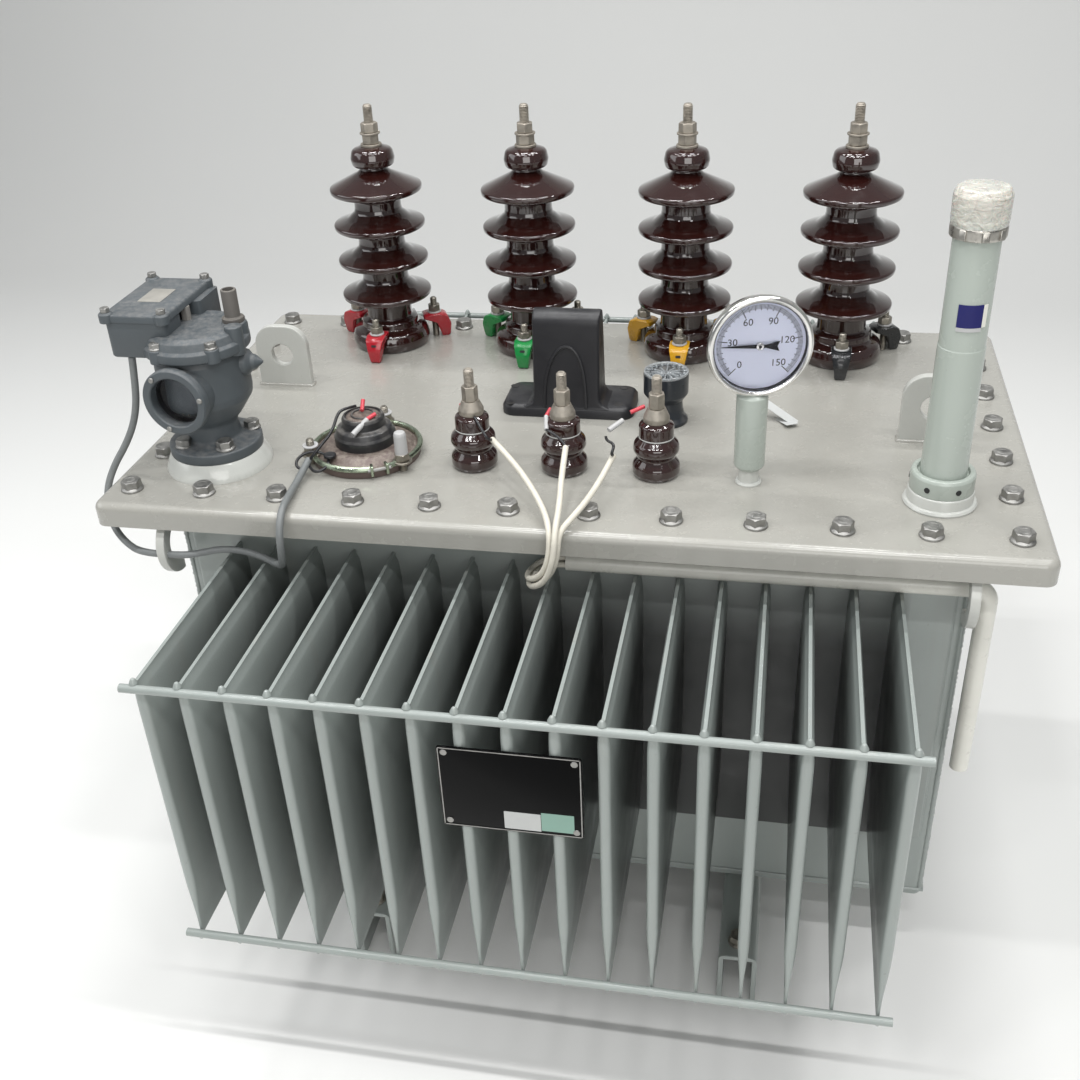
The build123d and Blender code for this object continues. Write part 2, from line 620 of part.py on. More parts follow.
def relay_head():
    """Upper casting: the ring flange over the body with the terminal box beside it."""
    ring = turned([(0, RELAY_BODY_TOP), (RELAY_RING_RADIUS - 2, RELAY_BODY_TOP),
                   (RELAY_RING_RADIUS, RELAY_BODY_TOP + 2), (RELAY_RING_RADIUS, RELAY_BODY_TOP + 12),
                   (RELAY_RING_RADIUS - 4, RELAY_BODY_TOP + 14), (RELAY_RING_RADIUS - 6, RELAY_RING_TOP - 2),
                   (RELAY_RING_RADIUS - 9, RELAY_RING_TOP), (0, RELAY_RING_TOP)])
    box = Pos(0, 0, RELAY_BODY_TOP) * extrude(relay_box_outline(), RELAY_BOX_TOP - RELAY_BODY_TOP)
    return ring + box


def relay_lid():
    """Flat lid of the terminal box."""
    lid = Pos(0, 0, RELAY_BOX_TOP) * extrude(relay_box_outline(RELAY_LID_MARGIN), RELAY_LID_THICKNESS)
    return chamfer(lid.edges().group_by(Axis.Z)[-1], 2)


def relay_valve():
    """Upright test pipe on the ring."""
    return Pos(RELAY_VALVE_X, RELAY_VALVE_Y, 0) * turned([
        (0, RELAY_RING_TOP), (RELAY_VALVE_RADIUS + 3, RELAY_RING_TOP), (RELAY_VALVE_RADIUS + 3, RELAY_RING_TOP + 5),
        (RELAY_VALVE_RADIUS, RELAY_RING_TOP + 6), (RELAY_VALVE_RADIUS, RELAY_VALVE_TOP), (0, RELAY_VALVE_TOP)])


# Round pressure release device
def device_flange():
    """Round base flange and the shallow disc on it."""
    return turned([(0, 0), (DEVICE_FLANGE_RADIUS, 0), (DEVICE_FLANGE_RADIUS, DEVICE_FLANGE_THICKNESS),
                   (DEVICE_DISC_RADIUS, DEVICE_FLANGE_THICKNESS), (DEVICE_HUB_RADIUS + 4, DEVICE_DISC_TOP),
                   (0, DEVICE_DISC_TOP)])


def device_clamp_ring():
    """Flat ring that holds the flange down."""
    ring = Circle(DEVICE_CLAMP_OUTER) - Circle(DEVICE_CLAMP_INNER)
    return Pos(0, 0, DEVICE_FLANGE_THICKNESS) * extrude(ring, DEVICE_CLAMP_THICKNESS)


def device_hub():
    """Two-tier hub in the middle of the device."""
    return turned([(0, DEVICE_DISC_TOP), (DEVICE_HUB_RADIUS, DEVICE_DISC_TOP),
                   (DEVICE_HUB_RADIUS, DEVICE_HUB_TOP - 5), (DEVICE_HUB_RADIUS - 4, DEVICE_HUB_TOP),
                   (DEVICE_CROWN_RADIUS + 1, DEVICE_HUB_TOP), (DEVICE_CROWN_RADIUS, DEVICE_CROWN_TOP - 3),
                   (DEVICE_CROWN_RADIUS - 3, DEVICE_CROWN_TOP), (0, DEVICE_CROWN_TOP)])


# Terminal hood
def terminal_hood():
    """Moulded hood: a base plate with four holes and an upright body with a rounded top."""
    plate = extrude(RectangleRounded(HOOD_BASE_LENGTH, HOOD_BASE_DEPTH, HOOD_BASE_CORNER),
                    HOOD_BASE_THICKNESS)
    plate = fillet(plate.edges().group_by(Axis.Z)[-1], 5)
    half_x = HOOD_BASE_LENGTH / 2 - HOOD_HOLE_INSET
    half_y = HOOD_BASE_DEPTH / 2 - HOOD_HOLE_INSET
    for x in (-half_x, half_x):
        for y in (-half_y, half_y):
            plate -= Pos(x, y, HOOD_BASE_THICKNESS / 2) * Cylinder(HOOD_HOLE_RADIUS, HOOD_BASE_THICKNESS)
    side = [(HOOD_FRONT_Y - HOOD_Y - 4, 0), (HOOD_FRONT_Y - HOOD_Y, HOOD_TOP_Z),
            (HOOD_BACK_Y - HOOD_Y - 12, HOOD_TOP_Z), (HOOD_BACK_Y - HOOD_Y, 0)]
    profile = make_face(Polyline(*side, close=True))
    profile = fillet(profile.vertices().group_by(Axis.Y)[-1], HOOD_TOP_RADIUS)
    body = extrude(Plane.YZ * profile, HOOD_BODY_WIDTH / 2, both=True)
    return plate + Pos(HOOD_BODY_X - HOOD_X, 0, 0) * body


# Tap changer
def tap_base():
    """Flared foot of the tap changer."""
    return turned([(0, 0), (TAP_BASE_RADIUS, 0), (TAP_BASE_RADIUS, 6), (TAP_NECK_RADIUS + 2, TAP_BASE_TOP),
                   (TAP_NECK_RADIUS, TAP_CAP_BOTTOM), (0, TAP_CAP_BOTTOM)])


def tap_cap():
    """Toothed cap over the tap switch."""
    cap = turned([(0, TAP_CAP_BOTTOM), (TAP_NECK_RADIUS + 1, TAP_CAP_BOTTOM),
                  (TAP_CAP_RADIUS, TAP_CAP_BOTTOM + 8), (TAP_CAP_RADIUS, TAP_CAP_TOP - 3),
                  (TAP_CAP_RADIUS - 3, TAP_CAP_TOP), (TAP_CAP_RADIUS - 8, TAP_CAP_TOP),
                  (TAP_CAP_RADIUS - 10, TAP_CAP_TOP - 3), (0, TAP_CAP_TOP - 3)])
    notch = Box(2.4, 3, TAP_CAP_TOP)
    for i in range(TAP_TEETH):
        cap -= Rot(0, 0, 360 / TAP_TEETH * i) * Pos(TAP_CAP_RADIUS, 0, TAP_CAP_TOP) * notch
    return cap


# Dial thermometer
def dial_plane():
    """Local frame at the middle of the case, +Z towards the reader."""
    facing = (0, -cos(radians(DIAL_TILT)), sin(radians(DIAL_TILT)))
    return Plane(origin=(0, 0, DIAL_CENTRE_HEIGHT), x_dir=(1, 0, 0), z_dir=facing)


def thermometer_case():
    """Round case with its bezel, open at the front for the glass."""
    half = DIAL_CASE_DEPTH / 2
    seat = half - DIAL_GLASS_RECESS
    outline = [(0, -half), (DIAL_CASE_RADIUS - 6, -half), (DIAL_CASE_RADIUS - 3, -half + 3),
               (DIAL_CASE_RADIUS - 3, half - 12), (DIAL_CASE_RADIUS, half - 10), (DIAL_CASE_RADIUS, half - 3),
               (DIAL_CASE_RADIUS - 2, half), (DIAL_GLASS_RADIUS + 2, half), (DIAL_GLASS_RADIUS, half - 2),
               (DIAL_GLASS_RADIUS, seat - DIAL_GLASS_THICKNESS), (0, seat - DIAL_GLASS_THICKNESS)]
    return dial_plane() * turned(outline)


def thermometer_glass():
    """Flat window in front of the dial."""
    bottom = DIAL_CASE_DEPTH / 2 - DIAL_GLASS_RECESS - DIAL_GLASS_THICKNESS
    disc = extrude(Circle(DIAL_GLASS_RADIUS - SEAT_GAP), DIAL_GLASS_THICKNESS)
    return dial_plane() * (Pos(0, 0, bottom) * disc)


def thermometer_stem():
    """Stem that carries the case, with its welded nipple, cut to the case's round side."""
    top = DIAL_CENTRE_HEIGHT - DIAL_CASE_RADIUS / 2
    stem = turned([(0, 0), (DIAL_NIPPLE_RADIUS, 0), (DIAL_NIPPLE_RADIUS, DIAL_NIPPLE_HEIGHT),
                   (DIAL_STEM_RADIUS - 3, DIAL_NIPPLE_HEIGHT), (DIAL_STEM_RADIUS, DIAL_NIPPLE_HEIGHT + 4),
                   (DIAL_STEM_RADIUS, top), (0, top)])
    clear = dial_plane() * extrude(Circle(DIAL_CASE_RADIUS + SEAT_GAP), 2 * DIAL_CASE_DEPTH, both=True)
    return stem - clear


# Oil gauge
def gauge_stub():
    """Welded stub under the oil gauge."""
    return turned([(0, 0), (GAUGE_STUB_RADIUS + 2, 0), (GAUGE_STUB_RADIUS, 3),
                   (GAUGE_STUB_RADIUS - 1, GAUGE_STUB_HEIGHT), (0, GAUGE_STUB_HEIGHT)])


def gauge_tube():
    """Gauge body: a collar with the tall tube on it and a window cut in its front."""
    collar_top = GAUGE_STUB_HEIGHT + GAUGE_COLLAR_HEIGHT
    tube = turned([(0, GAUGE_STUB_HEIGHT), (GAUGE_COLLAR_RADIUS, GAUGE_STUB_HEIGHT),
                   (GAUGE_COLLAR_RADIUS, collar_top - 4), (GAUGE_COLLAR_RADIUS - 4, collar_top),
                   (GAUGE_TUBE_RADIUS + 3, collar_top + 1), (GAUGE_TUBE_RADIUS, collar_top + 6),
                   (GAUGE_TUBE_RADIUS, GAUGE_TUBE_TOP), (0, GAUGE_TUBE_TOP)])
    return tube - gauge_window_space(0)


def gauge_window_space(gap):
    """Block of the window, from its seat outwards past the tube."""
    height = GAUGE_WINDOW_TOP - GAUGE_WINDOW_BOTTOM - 2 * gap
    middle = (GAUGE_WINDOW_TOP + GAUGE_WINDOW_BOTTOM) / 2
    block = Pos(GAUGE_TUBE_RADIUS - GAUGE_WINDOW_DEPTH + GAUGE_TUBE_RADIUS / 2, 0, middle) * Box(
        GAUGE_TUBE_RADIUS, GAUGE_WINDOW_WIDTH - 2 * gap, height)
    return Rot(0, 0, GAUGE_WINDOW_ANGLE) * block


def gauge_window():
    """Coloured window seated in its recess, flush inside the tube's round side."""
    inside = Pos(0, 0, (GAUGE_WINDOW_TOP + GAUGE_WINDOW_BOTTOM) / 2) * Cylinder(
        GAUGE_TUBE_RADIUS - 1.5, GAUGE_TUBE_TOP)
    return gauge_window_space(SEAT_GAP) & inside


def gauge_cap():
    """Breather cap with its metal ring."""
    ring_top = GAUGE_TUBE_TOP + GAUGE_CAP_RING
    return turned([(0, GAUGE_TUBE_TOP), (GAUGE_CAP_RADIUS, GAUGE_TUBE_TOP), (GAUGE_CAP_RADIUS, ring_top),
                   (GAUGE_CAP_RADIUS + 0.5, ring_top + 1), (GAUGE_CAP_RADIUS + 1.5, GAUGE_CAP_TOP - 3),
                   (GAUGE_CAP_RADIUS - 2, GAUGE_CAP_TOP), (0, GAUGE_CAP_TOP)])


# Nameplate
def nameplate():
    """Flat plate across the noses of the middle fins."""
    front = Plane.XZ * RectangleRounded(PLATE_WIDTH, PLATE_HEIGHT, 3)
    return Pos(PLATE_CENTRE_X, -NOSE_Y - SEAT_GAP, PLATE_CENTRE_Z) * extrude(front, PLATE_THICKNESS)


# Conduit and wires
def route_radii(points):
    """Arc radius for each corner of a route, as large as its two runs allow."""
    radii = []
    for before, corner, after in zip(points, points[1:], points[2:]):
        run_in = Vector(*corner) - Vector(*before)
        run_out = Vector(*after) - Vector(*corner)
        half_turn = radians(run_in.get_angle(run_out)) / 2
        radii.append(0.45 * min(run_in.length, run_out.length) / tan(half_turn))
    return radii


def tube_along(points, section, radii=None):
    """Sweep a section along straight runs joined by tangent arcs."""
    path = FilletPolyline(*points, radius=radii or route_radii(points))
    start = Plane(origin=path @ 0, z_dir=path % 0)
    solid = sweep(start * section, path=path)
    expected = section.area * path.length
    print(f"  length {path.length:.1f}  volume against section times length {solid.volume / expected:.4f}")
    return solid


def conduit_pipe():
    """White pipe along the front wall with its end turned down beside the tank."""
    points = [(CONDUIT_START_X, CONDUIT_Y, CONDUIT_Z), (CONDUIT_DROP_X, CONDUIT_Y, CONDUIT_Z),
              (CONDUIT_DROP_X, CONDUIT_Y, CONDUIT_END_Z)]
    section = Circle(CONDUIT_RADIUS) - Circle(CONDUIT_RADIUS - CONDUIT_WALL)
    return tube_along(points, section, [CONDUIT_BEND])


def cord(node, points, radius):
    """One cable or wire; its arc radii are printed."""
    print(node, "radii", [round(value, 1) for value in route_radii(points)])
    save(tube_along(points, Circle(radius)), node)


def write_all():
    """Build every node and write its file."""
    os.makedirs("parts", exist_ok=True)
    save(tank_floor(), "tank_floor")
    save(tank_shell(), "tank_shell")
    save(tank_flange(), "tank_flange")
    save(cover_gasket(), "cover_gasket")
    save(cover_plate(), "cover_plate")
    save(foot_channel(-1), "foot_channel_left")
    save(foot_channel(1), "foot_channel_right")
    save(fin_webs(), "fin_webs")
    save(fin_bank(0), "front_fins")
    save(fin_bank(180), "rear_fins")
    save(fin_bars(), "fin_bars")
    save(tank_hooks(), "tank_hooks")
    save(cover_eyes(), "cover_eyes")

    bushing = hv_bushing()
    terminal = hv_terminal()
    clamp = hv_clamp()
    for number, x in enumerate(hv_places(), start=1):
        place = upright(x, HV_Y)
        save(place * bushing, f"hv_bushing_{number}")
        claws = [place * Rot(0, 0, angle) * clamp for angle in CLAMP_ANGLES]
        save(Compound(children=claws), f"hv_clamps_{number}")
    save(Compound(children=[upright(x, HV_Y) * terminal for x in hv_places()]), "hv_terminals")

    bushing = lv_bushing()
    terminal = lv_terminal()
    for number, x in enumerate(lv_places(), start=1):
        save(upright(x, LV_Y) * bushing, f"lv_bushing_{number}")
    save(Compound(children=[upright(x, LV_Y) * terminal for x in lv_places()]), "lv_terminals")

    relay_place = upright(RELAY_X, RELAY_Y)
    for node, make in (("relay_stub", relay_stub), ("relay_body", relay_body), ("relay_head", relay_head),
                       ("relay_lid", relay_lid), ("relay_valve", relay_valve),
                       ("relay_sight_ring", relay_sight_ring), ("relay_sight_glass", relay_sight_glass)):
        save(relay_place * make(), node)

    device_place = upright(DEVICE_X, DEVICE_Y)
    for node, make in (("device_flange", device_flange), ("device_clamp_ring", device_clamp_ring),
                       ("device_hub", device_hub)):
        save(device_place * make(), node)

    save(upright(HOOD_X, HOOD_Y) * terminal_hood(), "terminal_hood")
    save(upright(TAP_X, TAP_Y) * tap_base(), "tap_base")
    save(upright(TAP_X, TAP_Y) * tap_cap(), "tap_cap")

    dial_place = upright(DIAL_X, DIAL_Y)
    for node, make in (("thermometer_stem", thermometer_stem), ("thermometer_case", thermometer_case),
                       ("thermometer_glass", thermometer_glass)):
        save(dial_place * make(), node)

    gauge_place = upright(GAUGE_X, GAUGE_Y)
    for node, make in (("gauge_stub", gauge_stub), ("gauge_tube", gauge_tube),
                       ("gauge_window", gauge_window), ("gauge_cap", gauge_cap)):
        save(gauge_place * make(), node)

    save(nameplate(), "nameplate")
    save(conduit_pipe(), "conduit_pipe")
    cord("relay_cable", RELAY_CABLE, CABLE_RADIUS)
    cord("device_cable", DEVICE_CABLE, CABLE_RADIUS)
    for number, points in enumerate(LV_WIRES, start=1):
        cord(f"lv_wire_{number}", points, WIRE_RADIUS)


write_all()
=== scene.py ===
from math import cos, pi, radians, sin, tan

import bpy
import numpy as np
from bpy.props import FloatProperty, FloatVectorProperty, IntProperty, PointerProperty
from mathutils import Matrix, Vector


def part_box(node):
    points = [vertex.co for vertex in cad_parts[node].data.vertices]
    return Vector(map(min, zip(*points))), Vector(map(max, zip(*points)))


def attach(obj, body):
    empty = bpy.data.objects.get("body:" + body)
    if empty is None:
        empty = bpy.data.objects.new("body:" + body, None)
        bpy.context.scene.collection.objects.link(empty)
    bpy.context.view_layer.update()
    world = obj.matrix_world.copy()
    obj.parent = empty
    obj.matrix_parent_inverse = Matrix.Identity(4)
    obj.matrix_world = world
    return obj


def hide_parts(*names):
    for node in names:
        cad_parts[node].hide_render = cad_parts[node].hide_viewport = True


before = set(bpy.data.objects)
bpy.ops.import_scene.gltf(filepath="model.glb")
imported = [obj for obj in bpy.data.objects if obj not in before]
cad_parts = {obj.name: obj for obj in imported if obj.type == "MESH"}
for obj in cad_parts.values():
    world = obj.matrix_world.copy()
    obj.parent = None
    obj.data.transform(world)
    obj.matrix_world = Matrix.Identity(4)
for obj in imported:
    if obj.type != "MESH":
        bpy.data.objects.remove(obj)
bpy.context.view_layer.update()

bl_info = {
    "name": "Oil-filled transformer",
    "version": (1, 0, 0),
    "blender": (4, 5, 0),
    "location": "View3D > Sidebar > Transformer",
    "description": "Dresses the transformer with its enamel, glaze, castings, bolts and cables",
    "category": "Object",
}

# Forms are worked out in millimetres and turned into metres when a piece is made
METRES = 0.001
DICE = np.random.default_rng(14)


def node_box(node):
    """Lowest and highest corner of a node, in millimetres."""
    low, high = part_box(node)
    return low / METRES, high / METRES


def node_centre(node):
    """Middle of a node's plan, in millimetres, with the height of its lowest point."""
    low, high = node_box(node)
    return Vector(((low.x + high.x) / 2, (low.y + high.y) / 2, low.z))


COVER_TOP = node_box("cover_plate")[1].z
CORNERS = ((-1, -1), (-1, 1), (1, -1), (1, 1))


# Forms
class Form:
    """Points and faces in millimetres, with the number of each face's finish."""

    def __init__(self, points, faces, finish=0):
        self.points = np.array(points, float).reshape(-1, 3)
        self.faces = [tuple(face) for face in faces]
        self.finishes = [finish] * len(self.faces) if isinstance(finish, int) else list(finish)

    def at(self, matrix):
        """The same form, placed by a matrix."""
        turn = np.array(matrix.to_3x3())
        return Form(self.points @ turn.T + np.array(matrix.translation), self.faces, self.finishes)


def joined(forms):
    """Several forms as one."""
    points, faces, finishes, start = [], [], [], 0
    for form in forms:
        points.append(form.points)
        faces += [tuple(start + index for index in face) for face in form.faces]
        finishes += form.finishes
        start += len(form.points)
    return Form(np.vstack(points), faces, finishes)


def spot(x=0.0, y=0.0, z=0.0, turn=0.0, tip=0.0):
    """A place: moved, turned about the vertical and tipped about its own X axis, in degrees."""
    rotation = Matrix.Rotation(radians(turn), 4, "Z") @ Matrix.Rotation(radians(tip), 4, "X")
    return Matrix.Translation((x, y, z)) @ rotation


def standing(node, turn=0.0):
    """A place at the foot of a node, in the middle of its plan."""
    return spot(*node_centre(node), turn)


def polar(radius, angle):
    """X and Y of a point by its radius and its angle in degrees."""
    return radius * cos(radians(angle)), radius * sin(radians(angle))


def facing(origin, direction):
    """A place whose local Z points along a direction and whose local Y points up."""
    axis = Vector(direction).normalized()
    side = Vector((0, 0, 1)).cross(axis).normalized()
    top = axis.cross(side)
    matrix = Matrix((side, top, axis)).transposed().to_4x4()
    matrix.translation = Vector(origin)
    return matrix


def softened(corners, steps=5, closed=False):
    """An outline whose corners (x, y, radius) are rounded, as plain points."""
    count = len(corners)
    points = []
    for index, corner in enumerate(corners):
        here = Vector(corner[:2])
        radius = corner[2] if len(corner) > 2 else 0.0
        if radius == 0.0 or (not closed and index in (0, count - 1)):
            points.append(tuple(here))
            continue
        back = Vector(corners[index - 1][:2]) - here
        ahead = Vector(corners[(index + 1) % count][:2]) - here
        half = back.angle(ahead) / 2
        reach = min(radius / tan(half), 0.48 * back.length, 0.48 * ahead.length)
        middle = here + (back.normalized() + ahead.normalized()).normalized() * reach / cos(half)
        arm = here + back.normalized() * reach - middle
        last = here + ahead.normalized() * reach - middle
        sweep = (pi - 2 * half) * (1 if arm.x * last.y - arm.y * last.x > 0 else -1)
        for step in range(steps + 1):
            points.append(tuple(middle + Matrix.Rotation(sweep * step / steps, 2) @ arm))
    return points


def lathe(outline, steps=48, finish=0, closed=False):
    """Turn an outline of (radius, height), listed upwards on the outside, about the axis."""
    points, rings = [], []
    for radius, height in outline:
        start = len(points)
        if radius < 1e-6:
            rings.append([start] * steps)
            points.append((0, 0, height))
            continue
        rings.append(list(range(start, start + steps)))
        points += [(radius * cos(2 * pi * i / steps), radius * sin(2 * pi * i / steps), height)
                   for i in range(steps)]
    faces = []
    for low, high in list(zip(rings, rings[1:])) + ([(rings[-1], rings[0])] if closed else []):
        for i in range(steps):
            after = (i + 1) % steps
            face = tuple(dict.fromkeys((low[i], low[after], high[after], high[i])))
            if len(face) > 2:
                faces.append(face)
    return Form(points, faces, finish)


def turned(corners, rounding, steps, finish=0, closed=False):
    """Turn an outline of (radius, height, corner radius) about the axis."""
    return lathe(softened(corners, rounding, closed), steps, finish, closed)


def cylinder(radius, low, high, steps, finish=0):
    """A plain cylinder between two heights."""
    return lathe([(0, low), (radius, low), (radius, high), (0, high)], steps, finish)


def loft(rings, finish=0):
    """Skin equal rings of points, listed from the lowest to the highest, and close both ends."""
    count = len(rings[0])
    points = [point for ring in rings for point in ring]
    faces = [tuple(range(count))[::-1], tuple(range(len(points) - count, len(points)))]
    for level in range(len(rings) - 1):
        for i in range(count):
            after = (i + 1) % count
            low, high = level * count, (level + 1) * count
            faces.append((low + i, low + after, high + after, high + i))
    return Form(points, faces, finish)


def drawn_in(outline, distance):
    """A closed outline, listed anticlockwise, moved inwards by a distance."""
    result = []
    count = len(outline)
    for index in range(count):
        here = Vector(outline[index])
        into = (here - Vector(outline[index - 1])).normalized()
        out = (Vector(outline[(index + 1) % count]) - here).normalized()
        first, second = Vector((-into.y, into.x)), Vector((-out.y, out.x))
        result.append(tuple(here + (first + second) * distance / (1 + first.dot(second))))
    return result


def slab(outline, low, high, edge=0.0, finish=0, lower_edge=0.0):
    """A plate of a closed anticlockwise outline between two heights, with rounded edges."""
    quarter = (0.0, 0.29, 1.0)
    levels = []
    for share in quarter if lower_edge else ():
        levels.append((lower_edge * (1 - share) ** 2, low + lower_edge * share))
    if not lower_edge:
        levels.append((0.0, low))
    if not edge:
        levels.append((0.0, high))
    for share in quarter[::-1] if edge else ():
        levels.append((edge * (1 - share) ** 2, high - edge * share))
    rings = []
    for inset, z in levels:
        shape = drawn_in(outline, inset) if inset else outline
        rings.append([(x, y, z) for x, y in shape])
    return loft(rings, finish)


def rectangle(width, depth, radius=0.0, x=0.0, y=0.0, steps=5):
    """Rounded rectangle outline about a centre."""
    w, d = width / 2, depth / 2
    return softened([(x - w, y - d, radius), (x + w, y - d, radius), (x + w, y + d, radius),
                     (x - w, y + d, radius)], steps, closed=True)


def tube(path, radii, sides=10, finish=0, closed=False):
    """A round tube along a path; radii is one number or one for each point."""
    path = [Vector(point) for point in path]
    count = len(path)
    radii = [radii] * count if isinstance(radii, (int, float)) else list(radii)
    rings, side = [], None
    for index, here in enumerate(path):
        before = path[index - 1] if index or closed else here
        after = path[(index + 1) % count] if index < count - 1 or closed else here
        along = (after - before).normalized()
        side = along.orthogonal() if side is None else side - along * side.dot(along)
        side.normalize()
        other = along.cross(side)
        turns = [2 * pi * k / sides for k in range(sides)]
        rings.append([tuple(here + radii[index] * (side * cos(a) + other * sin(a))) for a in turns])
    if not closed:
        return loft(rings, finish)
    form = loft(rings + rings[:1], finish)
    return Form(form.points, form.faces[2:], finish)


def smooth(points, steps=6):
    """A rounded path through the middles of a route's runs, with its ends kept."""
    points = [Vector(point) for point in points]
    if len(points) < 3:
        return points
    path = [points[0]]
    for before, here, after in zip(points, points[1:], points[2:]):
        start = before if before is points[0] else (before + here) / 2
        stop = after if after is points[-1] else (here + after) / 2
        path += [start.lerp(here, i / steps).lerp(here.lerp(stop, i / steps), i / steps)
                 for i in range(1, steps + 1)]
    return path


def weld(path, size, closed=False, pitch=3.0):
    """A rippled weld bead along a path of straight runs."""
    points = []
    runs = list(zip(path, path[1:])) + ([(path[-1], path[0])] if closed else [])
    for start, stop in runs:
        start, stop = Vector(start), Vector(stop)
        steps = max(2, round((stop - start).length / pitch))
        points += [start.lerp(stop, i / steps) for i in range(steps)]
    if not closed:
        points.append(Vector(path[-1]))
    sizes = [size * (1 + 0.16 * (i % 2) + DICE.uniform(-0.12, 0.12)) for i in range(len(points))]
    return tube(points, sizes, sides=7, closed=closed)


def ring_path(radius, z=0.0, steps=48, start=0.0, sweep=360.0):
    """Points of a circle or an arc about the axis, in degrees."""
    count = steps if sweep >= 360.0 else steps + 1
    return [(*polar(radius, start + sweep * i / steps), z) for i in range(count)]


def hexagon(across, low, high, finish=0, chamfer=(True, True)):
    """A hexagon bar whose corners are cut back by a cone at its ends."""
    steps = 48
    corner = across / 2 / cos(pi / 6)
    crown = across / 2 * 0.96
    drop = (corner - crown) * tan(pi / 6)
    levels = [(low, crown), (low + drop / 2, (crown + corner) / 2), (low + drop, corner)]
    levels = levels if chamfer[0] else [(low, corner)]
    top = [(high - drop, corner), (high - drop / 2, (crown + corner) / 2), (high, crown)]
    levels += top if chamfer[1] else [(high, corner)]
    rings = []
    for z, limit in levels:
        ring = []
        for i in range(steps):
            angle = 2 * pi * i / steps
            wedge = (angle + pi / 6) % (pi / 3) - pi / 6
            radius = min(across / 2 / cos(wedge), limit)
            ring.append((radius * cos(angle), radius * sin(angle), z))
        rings.append(ring)
    return loft(rings, finish)


def threaded(radius, low, high, pitch=1.6, finish=0):
    """A threaded rod with a chamfered upper end."""
    depth = 0.55 * pitch
    outline = [(0, low), (radius - depth, low)]
    z = low
    while z + pitch < high - depth:
        outline += [(radius - depth, z), (radius, z + 0.35 * pitch), (radius, z + 0.6 * pitch)]
        z += pitch
    outline += [(radius - depth, z), (radius - depth, high - depth), (radius - 2 * depth, high), (0, high)]
    return lathe(outline, 20, finish)


def flange_bolt(size):
    """Hexagon head with a round flange, standing on z = 0."""
    collar = turned([(0, 0), (1.06 * size, 0, 0.6), (1.02 * size, 0.18 * size, 0.8),
                     (0.76 * size, 0.36 * size), (0, 0.36 * size)], 3, 32)
    head = hexagon(1.6 * size, 0.25 * size, size, chamfer=(False, True))
    dish = lathe([(0.36 * size, 1.01 * size), (0.4 * size, 1.03 * size), (0.5 * size, 1.005 * size)], 24)
    return joined([collar, head, dish])


def washer(inner, outer, low, high, finish=0):
    """Flat ring with slightly broken edges."""
    lip = 0.15 * (high - low)
    outline = [(inner, low), (outer - lip, low), (outer, low + lip), (outer, high - lip),
               (outer - lip, high), (inner, high)]
    return lathe(outline, 36, finish, closed=True)


